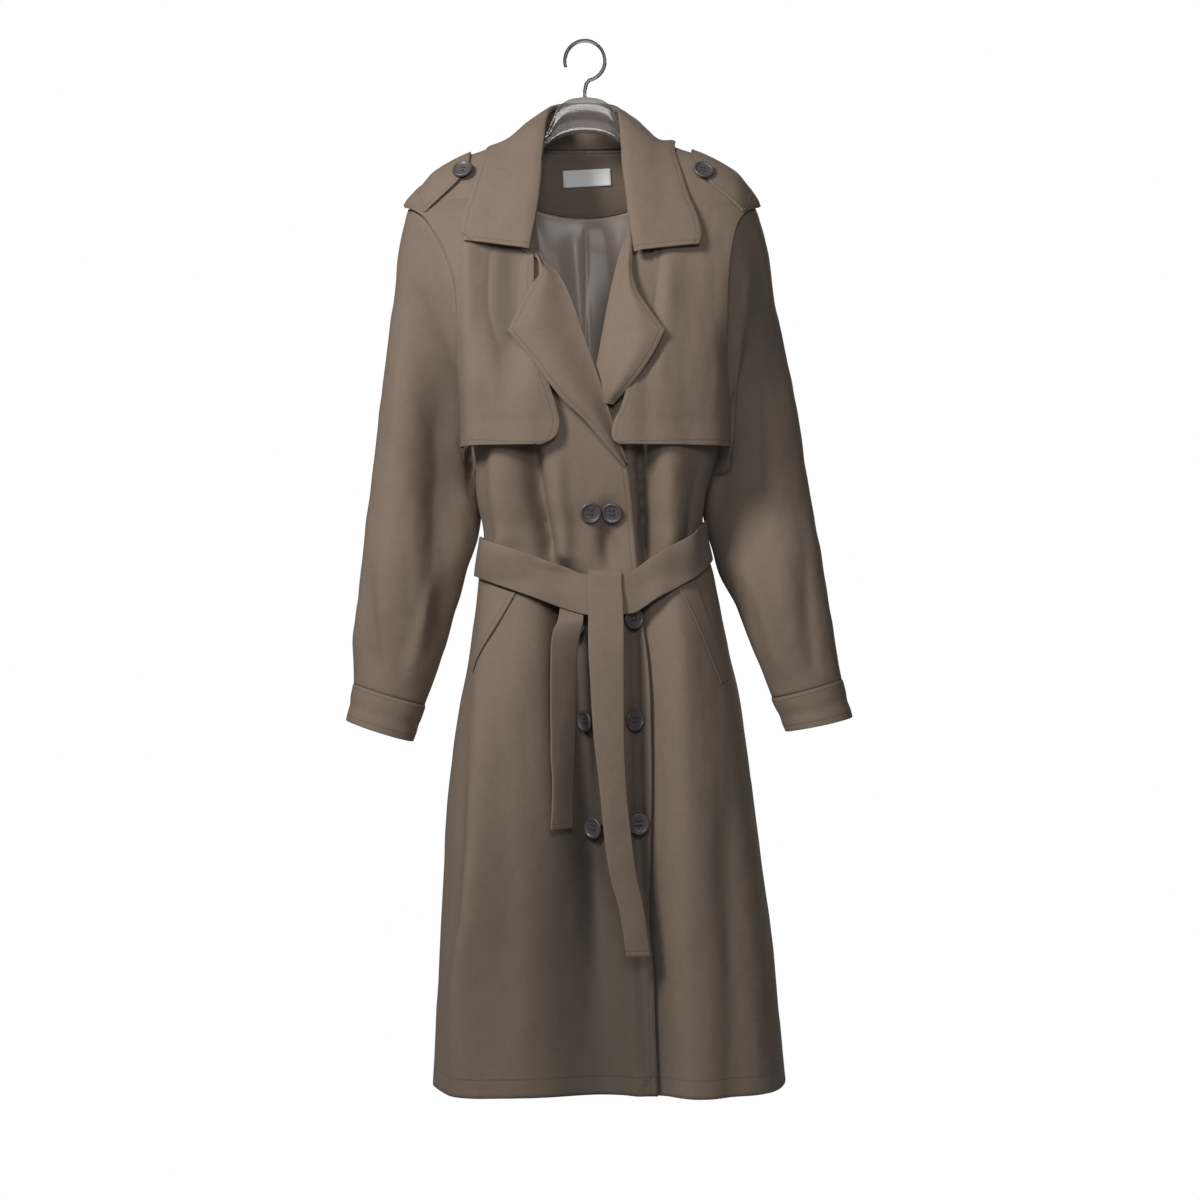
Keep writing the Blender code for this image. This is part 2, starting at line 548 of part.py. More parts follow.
# The collar, station by station from the right front end round the back to the left front end:
# the roll (top of the fold), the leaf's edge, how far the leaf lies off the body, and its bulge
COLLAR = (
    # roll x, y, z; leaf edge x, y, z; lift, bulge
    (-0.0581, -0.080, -0.2402, -0.1271, -0.066, -0.2318, 0.0160, 0.004),
    (-0.0560, -0.077, -0.2270, -0.1310, -0.060, -0.2200, 0.0150, 0.005),
    (-0.0515, -0.070, -0.2030, -0.1275, -0.055, -0.2010, 0.0135, 0.006),
    (-0.0472, -0.056, -0.1640, -0.1240, -0.047, -0.1765, 0.0125, 0.007),
    (-0.0450, -0.036, -0.1260, -0.1185, -0.032, -0.1470, 0.0115, 0.007),
    (-0.0430, -0.012, -0.0900, -0.1120, -0.006, -0.1265, 0.0125, 0.005),
    (-0.0400, 0.018, -0.0700, -0.1000, 0.030, -0.1290, 0.0095, 0.007),
    (-0.0290, 0.040, -0.0590, -0.0740, 0.064, -0.1390, 0.0090, 0.008),
    (0.0, 0.049, -0.0550, 0.0, 0.077, -0.1400, 0.0065, 0.008),
    (0.0250, 0.040, -0.0590, 0.0720, 0.064, -0.1390, 0.0120, 0.008),
    (0.0350, 0.018, -0.0700, 0.0970, 0.030, -0.1290, 0.0120, 0.007),
    (0.0385, -0.012, -0.0890, 0.1050, -0.006, -0.1250, 0.0145, 0.005),
    (0.0390, -0.036, -0.1260, 0.1080, -0.032, -0.1460, 0.0115, 0.007),
    (0.0423, -0.057, -0.1650, 0.1140, -0.047, -0.1776, 0.0125, 0.007),
    (0.0470, -0.070, -0.2030, 0.1200, -0.056, -0.2080, 0.0140, 0.006),
    (0.0510, -0.077, -0.2290, 0.1232, -0.061, -0.2270, 0.0150, 0.005),
    (0.0532, -0.080, -0.2430, 0.1204, -0.066, -0.2361, 0.0160, 0.004),
)
# Foot of the stand: heights along the fronts' neck edges, and angles along the back's
STAND_RIGHT = (-0.2490, -0.238, -0.215, -0.176, -0.143, -0.116)
STAND_BACK = (-112.0, -140.0, -180.0, -220.0, -248.0)
STAND_LEFT = (-0.116, -0.143, -0.176, -0.198, -0.206, -0.214)
FOLD_RADIUS = 0.0030  # of the collar's roll
LEAF_SHARES = (0.16, 0.34, 0.54, 0.76, 1.0)


def rest(points, lift):
    """Moves points out of the body until they lie at least a lift above it."""
    x, y, z = points[..., 0], points[..., 1], points[..., 2]
    angle = np.where(y > 0, angle_at(x, z, True), angle_at(x, z))
    n = normal(body, angle, z)
    above = ((points - body(angle, z)) * n).sum(axis=-1)
    return points + n * np.maximum(lift - above, 0)[..., None]


def stand_foot():
    """The stand's foot: over the fronts' neck edges, and on top of the back's neck edge."""
    feet = []
    # The ends by the shoulder seam ride over its ridge
    over = CLOTH + SEAM + np.array((0.0004, 0.0004, 0.0004, 0.0004, 0.0008, 0.0070))
    for side, heights, edge in ((-1, STAND_RIGHT, EDGE_RIGHT), (1, STAND_LEFT, EDGE_LEFT)):
        z = np.array(heights)
        x = smooth(edge, "x", z) + side * 0.003
        lift = over if side < 0 else over[::-1]
        feet.append(on(left_body if side > 0 else body, angle_at(x, z), z, lift))
    back = on(body, np.radians(STAND_BACK), ROWS[0], -CLOTH)
    back[:, 2] += (0.0065, 0.0012, 0.0010, 0.0012, 0.0065)
    return np.concatenate([feet[0], back, feet[1]])


def collar():
    """The leaf turned down over the stand. Both are double cloth; the leaf carries the roll."""
    stations = np.array(COLLAR)
    roll, edge, lift, bulge = stations[:, 0:3], stations[:, 3:6], stations[:, 6], stations[:, 7:]
    foot = stand_foot()
    along = np.gradient(roll, axis=0)
    along /= np.linalg.norm(along, axis=1, keepdims=True)
    fall = edge - roll
    out = np.cross(along, fall)
    out /= np.linalg.norm(out, axis=1, keepdims=True)
    fall_way = fall / np.linalg.norm(fall, axis=1, keepdims=True)
    # The roll: a half turn from the stand's side, over the top, on to the leaf
    profile = []
    for degrees in (190, 140, 90, 40):
        a = math.radians(degrees)
        profile.append(roll + out * (FOLD_RADIUS * math.cos(a)) + fall_way * (FOLD_RADIUS * (1 - math.sin(a))))
    for share in LEAF_SHARES:
        off = (FOLD_RADIUS + bulge * math.sin(math.pi * share * 0.9)) * (1 - 0.55 * share)
        profile.append(rest(roll + fall * share + out * off, lift))
    outer = np.array(profile)[:, ::-1]
    n = grid_normals(outer)
    wall("collar_leaf", outer, outer - n * DOUBLE, TWILL)
    # The stand: from its foot up to just under the roll, inside the leaf
    top = roll - out * (FOLD_RADIUS - 0.0005) + fall_way * 0.0085
    face = np.array([foot + (top - foot) * share for share in (1.0, 0.5, 0.0)])
    n = grid_normals(face)
    wall("collar_stand", face, face - n * CLOTH, TWILL)


collar()


# Neck facing and the upper back's lining, seen inside the neck: they hang inside the back panel.
# Half width of each row
FACING = {
    "z": (-0.1115, -0.120, -0.132, -0.150, -0.168, -0.188),
    "wide": (0.058, 0.063, 0.068, 0.070, 0.070, 0.068),
    "dip": (0.0, 0.0, 0.0, 0.002, 0.005, 0.008),
}
LINING_ROWS = (-0.188, -0.226, -0.265, -0.310, -0.360, -0.412)
LINING_WIDE = (0.105, 0.088)  # its columns outside the facing
INSIDE = CLOTH + 0.0030  # the facing's inner face below the back's outside
FACING_TOP = 0.0007  # how far the facing lies out again at the neck seam, close to the back
JOIN = 0.0004


def neck_facing():
    share = np.linspace(1, -1, 10)[None, :]
    wide, dip = (np.array(FACING[key])[:, None] for key in ("wide", "dip"))
    z = np.array(FACING["z"])[:, None] - dip * (1 - share**2)
    angle = angle_at(wide * share, z, True) % (2 * math.pi)
    out = -INSIDE + FACING_TOP * ease((z - FACING["z"][2]) / (FACING["z"][0] - FACING["z"][2]))
    wall("neck_facing", on(body, angle, z, out + CLOTH), on(body, angle, z, out), TWILL)
    # The lining is sewn to the facing's curved lower edge
    x = np.concatenate([LINING_WIDE, wide[-1] * share[0], -np.array(LINING_WIDE)[::-1]])[None, :]
    bend = dip[-1] * (1 - np.clip(x / wide[-1], -1, 1) ** 2)
    rows = np.array(LINING_ROWS)[:, None]
    z = rows - (bend + JOIN) * np.clip((rows - LINING_ROWS[1]) / (LINING_ROWS[0] - LINING_ROWS[1]), 0, 1)
    angle = angle_at(x + 0 * z, z, True) % (2 * math.pi)
    wall("lining_back", on(body, angle, z, -INSIDE + LINING), on(body, angle, z, -INSIDE), SATIN)


neck_facing()

LABEL_SIZE = (0.054, 0.019)
LABEL_MIDDLE = (0.0019, -0.1374)
LABEL_TILT = math.radians(3)


def label():
    """The blank woven label, sewn flat on the facing's inner face."""
    across_it = np.linspace(-0.5, 0.5, 5)[None, :] * LABEL_SIZE[0]
    down_it = np.linspace(0.5, -0.5, 3)[:, None] * LABEL_SIZE[1]
    x = LABEL_MIDDLE[0] + across_it * math.cos(LABEL_TILT) - down_it * math.sin(LABEL_TILT)
    z = LABEL_MIDDLE[1] + across_it * math.sin(LABEL_TILT) + down_it * math.cos(LABEL_TILT)
    angle = angle_at(x, z, True) % (2 * math.pi)
    # Seen from the front its columns run the other way round the ring
    back_face = on(body, angle, z, -INSIDE - 0.0012)[:, ::-1]
    front_face = on(body, angle, z, -INSIDE - 0.0018)[:, ::-1]
    wall("neck_label", back_face, front_face, WHITE)


label()

# Epaulettes: straps along the shoulder from a rounded end by the collar to the armhole seam.
# x, and how far in height the front and back edges lie below the shoulder's ridge
EPAULETTE = (
    # x, front drop, back drop
    (0.1225, 0.004, 0.003),
    (0.1260, 0.018, 0.012),
    (0.1330, 0.030, 0.019),
    (0.1450, 0.034, 0.022),
    (0.1600, 0.036, 0.024),
    (0.1730, 0.029, 0.022),
    (0.1835, 0.013, 0.011),
)
EPAULETTE_LIFT = 0.0094
EPAULETTE_REACH = 0.0080  # the left one starts further in, by the narrower collar leaf


def ridge_height(x):
    """Height of the shoulder's ridge at a distance from the centre."""
    heights = np.linspace(SHOULDER_TIP, -0.104, 200)
    return np.interp(np.abs(x), (smooth(BODY, "half", heights))[::-1], heights[::-1])


def epaulette(name, side):
    share = np.linspace(-1, 1, 7)[:, None]
    x, front, back = np.array(EPAULETTE).T
    x = x - (EPAULETTE_REACH if side > 0 else 0.0) * (x[-1] - x) / (x[-1] - x[0])
    x = x * side if side > 0 else (x * side)[::-1]
    drop = np.where(share > 0, front[::side], back[::side])
    z = ridge_height(x)[None, :] - drop * share**2 - 0.0002
    ahead = angle_at(x[None, :] + 0 * z, z)
    behind = angle_at(x[None, :] + 0 * z, z, True)
    angle = np.where(share > 0, ahead, np.where(share < 0, behind, side * math.pi / 2))
    outer = on(body, angle, z, EPAULETTE_LIFT)
    wall(name, outer, on(body, angle, z, EPAULETTE_LIFT - DOUBLE), TWILL)


epaulette("epaulette_right", -1)
epaulette("epaulette_left", 1)

# Belt: height of its middle round the waist, by x on the front, then nearly level round the back
BELT = {
    "x": (-0.110, -0.083, -0.050, -0.020, 0.000, 0.020, 0.040, 0.052, 0.063, 0.084, 0.107, 0.130),
    "middle": (-0.566, -0.577, -0.590, -0.602, -0.6085, -0.6085, -0.6070, -0.600, -0.592, -0.580, -0.566, -0.548),
}
BELT_OFF = 0.0022  # between the folds' crests and the belt
KNOT_ROOM = 0.0055  # more, where the belt's end passes behind the band
KNOT_X = 0.0218


def belt_middle(angle):
    """Height of the belt's middle at an angle round the waist."""
    x = smooth(BODY, "centre", WAIST) + smooth(BODY, "half", WAIST) * across(angle)[0]
    front = np.interp(x, BELT["x"], BELT["middle"])
    return np.where(np.cos(angle) > 0, front, np.interp(x, (-0.11, 0.13), (-0.566, -0.548)))


def crest(angle, z):
    """The highest that the body's folds stand above its plain ring near a point."""
    flat = lambda a, h: ring(BODY, a, h)
    n = normal(flat, angle, z)
    height = np.full(angle.shape, -1.0)
    for form in (body, left_body):
        for turn in np.radians((-9, -4.5, 0, 4.5, 9)):
            for drop in (-0.012, 0.0, 0.012):
                above = (form(angle + turn, z + drop) - ring(BODY, angle + turn, z + drop)) * n
                height = np.maximum(height, above.sum(axis=-1))
    return height


def belt_surface(angle, z, out=0.0):
    """The belt's outside, which spans the folds below it."""
    angle, z = np.broadcast_arrays(angle, z)
    plain = ring(BODY, angle, z)
    room = KNOT_ROOM * ease(1.7 - np.abs(plain[..., 0] - KNOT_X) / 0.030) * (np.cos(angle) > 0)
    lift = crest(angle, z) + BELT_OFF + DOUBLE + room + out
    return on(lambda a, h: ring(BODY, a, h), angle, z, lift)


def belt_band():
    angle = np.radians(np.arange(0, 360, 11.25))[None, :]
    z = belt_middle(angle) + np.array((0.5, 0.0, -0.5))[:, None] * BELT_WIDTH
    return wall("belt_band", belt_surface(angle, z), belt_surface(angle, z, -DOUBLE), TWILL, tube=True)


band = belt_band()


def faces_of(piece):
    """A piece's faces, ready to be met by a ray."""
    mesh = piece.data
    return BVHTree.FromPolygons([v.co for v in mesh.vertices], [p.vertices for p in mesh.polygons])


def met(tree, x, z, inside=False):
    """The y at which a level ray meets a piece: from the front, or from inside the coat."""
    start, way = ((x, 0.0, z), (0, -1, 0)) if inside else ((x, -1.0, z), (0, 1, 0))
    spot = tree.ray_cast(Vector(start), Vector(way))[0]
    return None if spot is None else spot.y


def front_y(x, z, lift):
    """The y of a point that lies a lift in front of the body."""
    return body(angle_at(x, z), z)[..., 1] - lift


# The belt's two ends. The front one comes up behind the band, folds over its top and falls; the
# back one falls from under the band, behind it
TAIL_FRONT = {
    "z": (-0.6080, -0.6350, -0.6550, -0.6990, -0.7500, -0.8060, -0.8580, -0.9050, -0.9340, -0.9865),
    "left": (0.0035, 0.0040, 0.0040, 0.0061, 0.0092, 0.0155, 0.0207, 0.0279, 0.0362, 0.0445),
    "right": (0.0405, 0.0414, 0.0416, 0.0416, 0.0420, 0.0485, 0.0600, 0.0672, 0.0680, 0.0695),
    "lift": (0.0150, 0.0150, 0.0140, 0.0130, 0.0130, 0.0130, 0.0130, 0.0130, 0.0120, 0.0110),
}
TAIL_BACK = {
    "z": (-0.6360, -0.6450, -0.6680, -0.7150, -0.7640, -0.8070, -0.8550),
    "left": (-0.0285, -0.0325, -0.0350, -0.0350, -0.0349, -0.0330, -0.0348),
    "right": (-0.0010, -0.0030, -0.0070, -0.0090, -0.0100, -0.0110, -0.0115),
    "lift": (0.0095, 0.0095, 0.0090, 0.0085, 0.0080, 0.0080, 0.0080),
}
TAIL_BACK_TOP = (-0.0260, -0.0010)
OVER_BAND = (0.0040, 0.0395, -0.5805)  # the fold over the band: left, right, and its top
BAND_GAP = 0.0006


def tail_rows(table):
    """The outer face of a belt end, row by row."""
    z, left, right, lift = (np.array(table[key]) for key in ("z", "left", "right", "lift"))
    x = np.linspace(left, right, 3).T
    level = z[:, None] + 0 * x
    return np.stack([x, front_y(x, level, lift[:, None]), level], axis=-1)


def tail_front():
    rows = tail_rows(TAIL_FRONT)
    left, right, top = OVER_BAND
    x = np.linspace(left, right, 3)
    tree = faces_of(band)

    def band_y(heights, inside):
        """The band's face nearest the strap, over half a column to each side."""
        pick = max if inside else min
        return np.array([
            pick(met(tree, a + step, h, inside) for step in (-0.009, 0.0, 0.009)) for a, h in zip(x, heights)
        ])

    below = top - DOUBLE - BAND_GAP - 0.0030 + 0 * x
    behind, before = band_y(below, True), band_y(below, False)
    loop = [
        np.stack([x, behind + BAND_GAP + DOUBLE, top - 0.0130 + 0 * x], axis=-1),
        np.stack([x, behind + BAND_GAP + DOUBLE, top - 0.0030 + 0 * x], axis=-1),
        np.stack([x, (behind + before) / 2, top + 0 * x], axis=-1),
        np.stack([x, before - BAND_GAP - DOUBLE, top - 0.0030 + 0 * x], axis=-1),
    ]
    for drop in (0.0130, 0.0200):
        level = top - drop + 0 * x
        loop.append(np.stack([x, band_y(level, False) - BAND_GAP - DOUBLE - 0.0004, level], axis=-1))
    front = min(band_y(rows[0][:, 2], False))
    for row in rows[:2]:
        row[:, 1] = np.minimum(row[:, 1], front - BAND_GAP - DOUBLE)
    outer = np.concatenate([loop, rows])
    wall("belt_tail_front", outer, outer - grid_normals(outer) * DOUBLE, TWILL)


def tail_back():
    """Its top edge meets the band's lower edge, of which it is the continuation."""
    rows = tail_rows(TAIL_BACK)
    left, right = TAIL_BACK_TOP
    x = np.linspace(left, right, 3)
    a = angle_at(x, WAIST + 0 * x)
    low = belt_middle(a) - BELT_WIDTH / 2
    tree = faces_of(band)
    top = []
    for at, height in zip(x, low):
        height -= 0.006
        while met(tree, at, height) is None:
            height += 0.0002
        top.append((at, met(tree, at, height) + 0.0002, height - 0.0002 - JOIN))
    outer = np.concatenate([[top], rows])
    wall("belt_tail_back", outer, outer - grid_normals(outer) * DOUBLE, TWILL)


tail_front()
tail_back()

# Pocket welts: the slanted mouth's two ends, x and z, and how far the welt reaches out from it
POCKETS = (
    ("pocket_welt_right", -1, (-0.0732, -0.6058), (-0.1125, -0.6907)),
    ("pocket_welt_left", 1, (0.0963, -0.5973), (0.1444, -0.7039)),
)
WELT_REACH = 0.0260
WELT_RISE = 0.0060  # its outer edge lies this much higher
WELT_LIFT = 0.0030


def pocket_welt(name, side, top, bottom):
    along = np.linspace(0, 1, 6)[:, None]
    reach = np.linspace(0, 1, 4)[None, :]
    z = top[1] + (bottom[1] - top[1]) * along + WELT_RISE * reach
    mouth = angle_at(top[0] + (bottom[0] - top[0]) * along, z)
    angle = mouth + side * WELT_REACH * reach / smooth(BODY, "half", z)
    form = left_body if side > 0 else body
    outer, inner = (on(form, angle, z, WELT_LIFT - depth) for depth in (0.0, CLOTH))
    way = slice(None) if side > 0 else slice(None, None, -1)
    wall(name, outer[:, way], inner[:, way], TWILL)


for pocket in POCKETS:
    pocket_welt(*pocket)

# Buttons: x and z of the middle; each is a dished disc on a short shank of thread
FRONT_BUTTONS = (
    ("button_1", 0.0064, -0.5201),
    ("button_2", 0.0300, -0.5191),
    ("button_3", -0.0131, -0.6420),
    ("button_4", 0.0483, -0.6330),
    ("button_5", 0.0049, -0.7427),
    ("button_6", 0.0502, -0.7406),
    ("button_7", 0.0134, -0.8576),
    ("button_8", 0.0574, -0.8503),
)
BUTTON_FOOT = 0.0004  # the shank's foot above the cloth
BUTTON_CLEAR = 0.0004  # the disc's underside above the highest cloth below it
BUTTON_PROFILE = (
    # radius, height above the disc's underside
    (BUTTON_RADIUS - 0.0012, 0.0),
    (BUTTON_RADIUS, 0.0012),
    (BUTTON_RADIUS - 0.0004, 0.0028),
    (BUTTON_RADIUS - 0.0018, BUTTON_THICK),
    (BUTTON_RADIUS - 0.0036, BUTTON_THICK - 0.0008),
    (0.0, BUTTON_THICK - 0.0010),
)


def button(name, x, z, panel):
    """A lathed disc that rests on the cloth: its axis is the normal of the plane through the cloth
    below it, and its shank reaches down to the cloth."""
    tree = faces_of(panel)
    turns = np.linspace(0, 2 * math.pi, 12, endpoint=False)
    spots = [(0.0, 0.0)] + [(r * math.cos(t), r * math.sin(t)) for r in (0.0057, 0.0115) for t in turns]
    points = [(x + dx, met(tree, x + dx, z + dz), z + dz) for dx, dz in spots]
    points = np.array([p for p in points if p[1] is not None])
    slope = np.linalg.lstsq(np.c_[np.ones(len(points)), points[:, [0, 2]]], points[:, 1], rcond=None)[0]
    axis = np.array((slope[1], -1.0, slope[2]))
    axis /= np.linalg.norm(axis)
    highest = ((points - points[0]) @ axis).max() + BUTTON_CLEAR
    highest = max(highest, BUTTON_FOOT + 0.0002)
    profile = [(0.0, BUTTON_FOOT), (0.0026, BUTTON_FOOT), (0.0026, highest)]
    profile += [(r, h + highest) for r, h in BUTTON_PROFILE]
    shell = bmesh.new()
    spot = [shell.verts.new((r, 0, h)) for r, h in profile]
    edges = [shell.edges.new(pair) for pair in zip(spot, spot[1:])]
    bmesh.ops.spin(shell, geom=spot + edges, axis=(0, 0, 1), cent=(0, 0, 0), angle=2 * math.pi, steps=20)
    bmesh.ops.remove_doubles(shell, verts=shell.verts, dist=1e-6)
    turn = Vector(axis).to_track_quat("Z", "Y").to_matrix().to_4x4()
    turn.translation = Vector(points[0])
    shell.transform(turn)
    bmesh.ops.recalc_face_normals(shell, faces=shell.faces)
    if shell.calc_volume(signed=True) < 0:
        bmesh.ops.reverse_faces(shell, faces=shell.faces)
    finished(name, shell, HORN)


for name, x, z in FRONT_BUTTONS:
    button(name, x, z, coat.objects["front_right"])
button("epaulette_button_right", -0.1318, -0.1481, coat.objects["epaulette_right"])
button("epaulette_button_left", 0.1225, -0.1490, coat.objects["epaulette_left"])

# Hanger: a clear moulded bow whose arms run just under the shoulder seams
HANGER = {
    "x": (0.0, 0.0132, 0.0262, 0.0320, 0.0400, 0.0520),
    "top": (HANGER_TOP, -0.0628, -0.0735, -0.0865, -0.0965, -0.1065),
    "low": (-0.0996, -0.1014, -0.1052, -0.1075, -0.1120, -0.1190),
}
ARM_ENDS = 0.1660
ARM_HEIGHT = 0.0150
HANGER_HALF = 0.0048
ARM_UNDER = 0.0032  # the arm's top below the shoulder ridge's outside


def hanger():
    """Eight-sided rings along the bow, from one arm's end to the other."""
    rows = ROWS[ROWS > -0.190]
    ridge_x = smooth(BODY, "half", rows)
    x_arm = np.array((0.066, 0.082, 0.100, 0.118, 0.136, 0.152, ARM_ENDS))
    top_arm = np.interp(x_arm, ridge_x, rows) - ARM_UNDER
    low_arm = np.minimum(top_arm - ARM_HEIGHT * (1 - 0.35 * ease((x_arm - 0.08) / 0.09)), top_arm - 0.008)
    x = np.concatenate([HANGER["x"], x_arm])
    top = np.concatenate([HANGER["top"], top_arm])
    low = np.concatenate([HANGER["low"], low_arm])
    x = np.concatenate([-x[:0:-1], x])
    top, low = (np.concatenate([v[:0:-1], v]) for v in (top, low))
    half = np.full(len(x), HANGER_HALF)
    bevel = 0.0022
    ring_y = np.array((-1, -1, -0.5, 0.5, 1, 1, 0.5, -0.5))
    shell = bmesh.new()
    rings = []
    for i in range(len(x)):
        y = np.where(np.abs(ring_y) == 1, half[i], half[i] - bevel) * np.sign(ring_y)
        z = (low[i] + bevel, top[i] - bevel, top[i], top[i], top[i] - bevel, low[i] + bevel, low[i], low[i])
        rings.append([shell.verts.new((x[i], y[k], z[k])) for k in range(8)])
    for one, two in zip(rings, rings[1:]):
        for k in range(8):
            shell.faces.new((one[k], one[(k + 1) % 8], two[(k + 1) % 8], two[k]))
    shell.faces.new(rings[0])
    shell.faces.new(rings[-1])
    bmesh.ops.recalc_face_normals(shell, faces=shell.faces)
    bmesh.ops.triangulate(shell, faces=shell.faces)
    finished("hanger", shell, CLEAR)


def hanger_hook():
    """Round wire: a stem out of the bow's top, a neck to the side, then most of a circle."""
    radius = HOOK_INNER + HOOK_WIRE
    path = [(0.0, HANGER_TOP + SEAM), (0.0, -0.0525), (0.0014, -0.0455)]
    for degrees in range(-78, 201, 12):
        a = math.radians(degrees)
        path.append((radius * math.cos(a), radius * math.sin(a) - HOOK_INNER))
    wire = bpy.data.curves.new("hanger_hook", "CURVE")
    wire.dimensions = "3D"
    wire.bevel_depth = HOOK_WIRE
    wire.bevel_resolution = 3
    wire.use_fill_caps = True
    spline = wire.splines.new("POLY")
    spline.points.add(len(path) - 1)
    for point, (x, z) in zip(spline.points, path):
        point.co = (x, 0.0, z, 1.0)
    wire.materials.append(CHROME)
    coat.objects.link(bpy.data.objects.new("hanger_hook", wire))


hanger()
hanger_hook()
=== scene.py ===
# %% [markdown]
# # A belted trench coat on a clear hanger
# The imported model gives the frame: its pieces, sizes and places. This script gives the looks: each
# cut of cloth as a thin shell with its folds, stitches and weave, the buttons, the hanger, the
# light and the camera. Metres; the front faces -Y; "right" is the wearer's right, at -X.

# %% Setup
import math

import bmesh
import bpy
import numpy as np
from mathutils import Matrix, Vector, noise
from mathutils.bvhtree import BVHTree


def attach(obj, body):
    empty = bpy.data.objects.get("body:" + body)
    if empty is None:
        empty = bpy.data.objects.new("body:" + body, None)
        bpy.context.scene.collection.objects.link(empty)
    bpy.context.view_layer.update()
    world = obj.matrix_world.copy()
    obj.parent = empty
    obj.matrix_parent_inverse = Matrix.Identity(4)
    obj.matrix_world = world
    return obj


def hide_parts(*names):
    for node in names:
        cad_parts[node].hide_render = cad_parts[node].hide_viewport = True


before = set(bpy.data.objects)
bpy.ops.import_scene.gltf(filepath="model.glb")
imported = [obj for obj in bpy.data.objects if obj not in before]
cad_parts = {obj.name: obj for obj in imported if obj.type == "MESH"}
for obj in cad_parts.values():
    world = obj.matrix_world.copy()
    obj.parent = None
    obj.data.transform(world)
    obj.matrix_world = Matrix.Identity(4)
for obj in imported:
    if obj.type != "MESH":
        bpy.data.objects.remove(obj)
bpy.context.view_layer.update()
print("nodes in the frame:", len(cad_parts))

# %% [markdown]
# ## Sizes
# The same named sizes as the model's own, in metres.

# %% Sizes
CLOTH = 0.0015  # shell twill
LINING = 0.0008
DOUBLE = 0.0024  # two layers with interfacing
SEAM = 0.0003
SHOULDER_TIP = -0.184
ARMPIT = -0.465
WAIST = -0.540
HEM = -1.137
BELT_WIDTH = 0.044
BUTTON_RADIUS = 0.0115
SQUARE = 0.06  # how far the body's ring is from an ellipse towards a rounded box

# The body's ring at each height: half width, depth in front of and behind the shoulder seam's
# plane, and the sideways place of its centre
BODY = {
    "z": (-0.104, -0.1165, -0.1235, -0.131, -0.142, -0.155, -0.168, -0.184, -0.230,
          -0.285, -0.340, -0.395, -0.450, -0.505, -0.540, -0.590, -0.668, -0.723,
          -0.833, -0.943, -1.053, -1.137),
    "half": (0.058, 0.090, 0.107, 0.1275, 0.149, 0.168, 0.182, 0.1915, 0.190,
             0.176, 0.160, 0.147, 0.1345, 0.1255, 0.121, 0.130, 0.142, 0.1536,
             0.1686, 0.1785, 0.1875, 0.1936),
    "front": (0.006, 0.016, 0.021, 0.027, 0.033, 0.040, 0.045, 0.051, 0.066,
              0.080, 0.088, 0.092, 0.090, 0.084, 0.078, 0.080, 0.092, 0.098,
              0.106, 0.113, 0.118, 0.122),
    "back": (0.050, 0.056, 0.059, 0.061, 0.063, 0.065, 0.067, 0.070, 0.076,
             0.082, 0.086, 0.088, 0.086, 0.080, 0.074, 0.076, 0.090, 0.095,
             0.106, 0.113, 0.118, 0.122),
    "centre": (0.0, 0.0, 0.0, 0.0, 0.0, 0.0, -0.001, -0.003, -0.001,
               0.002, 0.006, 0.010, 0.0125, 0.0066, 0.0088, 0.0125, 0.0165, 0.0168,
               0.0168, 0.022, 0.0248, 0.0264),
}
# Armhole seams: x on the front at the wearer's right and left, and how far the back seams lie out
ARMHOLE = {
    "z": (-0.184, -0.189, -0.200, -0.213, -0.240, -0.2635, -0.2767, -0.305, -0.349,
          -0.404, -0.448, -0.465),
    "right": (-0.1945, -0.187, -0.1745, -0.1655, -0.1515, -0.1430, -0.1398, -0.1373, -0.1345,
              -0.1295, -0.1225, -0.1202),
    "left": (0.1885, 0.180, 0.1700, 0.1645, 0.1590, 0.1560, 0.1547, 0.1530, 0.1515,
             0.1500, 0.1460, 0.1434),
    "back": (0.1915, 0.186, 0.1790, 0.1730, 0.1640, 0.1585, 0.1560, 0.1520, 0.1470,
             0.1420, 0.1350, 0.1320),
}
# Inner boundary of each front: neck seam, step at the gorge, roll line, then the front edge
EDGE_RIGHT = {
    "z": (-0.108, -0.143, -0.176, -0.215, -0.238, -0.2500, -0.2620, -0.286, -0.3145, -0.3435,
          -0.370, -0.397, -0.4218, -0.455, -0.4765, -0.509, -0.568, -0.625, -0.681, -0.737,
          -0.859, -0.942, -1.024, -1.094, -1.137),
    "x": (-0.0625, -0.0610, -0.0570, -0.0510, -0.0485, -0.0478, -0.0295, -0.0177, -0.007, 0.0026,
          0.0117, 0.0197, 0.0288, 0.0377, 0.0470, 0.0510, 0.0560, 0.0625, 0.0690, 0.0725,
          0.0745, 0.0748, 0.0800, 0.0825, 0.0835),
}
EDGE_LEFT = {
    "z": (-0.108, -0.143, -0.176, -0.200, -0.2200, -0.2400, -0.2591, -0.2899, -0.3196, -0.3471,
          -0.393, -0.437, -0.470, -0.568, -0.700, -0.900, -1.137),
    "x": (0.0625, 0.0610, 0.0570, 0.0530, 0.0470, 0.0400, 0.0330, 0.0264, 0.0204, 0.0155,
          0.0055, -0.0060, -0.0165, -0.0200, -0.0120, -0.0080, -0.0070),
}
UNDERLAP_DEPTH = 0.0060  # how far the left front lies inside the right one's lap
LAP_PAST = 0.006  # it stays that deep this far past the lap's edge
LAP_OVER = 0.030  # and comes out over this distance

# %% [markdown]
# ## Folds
# A fold is a line of points (x, z, rise, half width) down the cloth. It stands out where its rise
# is positive, and is a trough where it is negative. It belongs to the front (-1) or back (1).

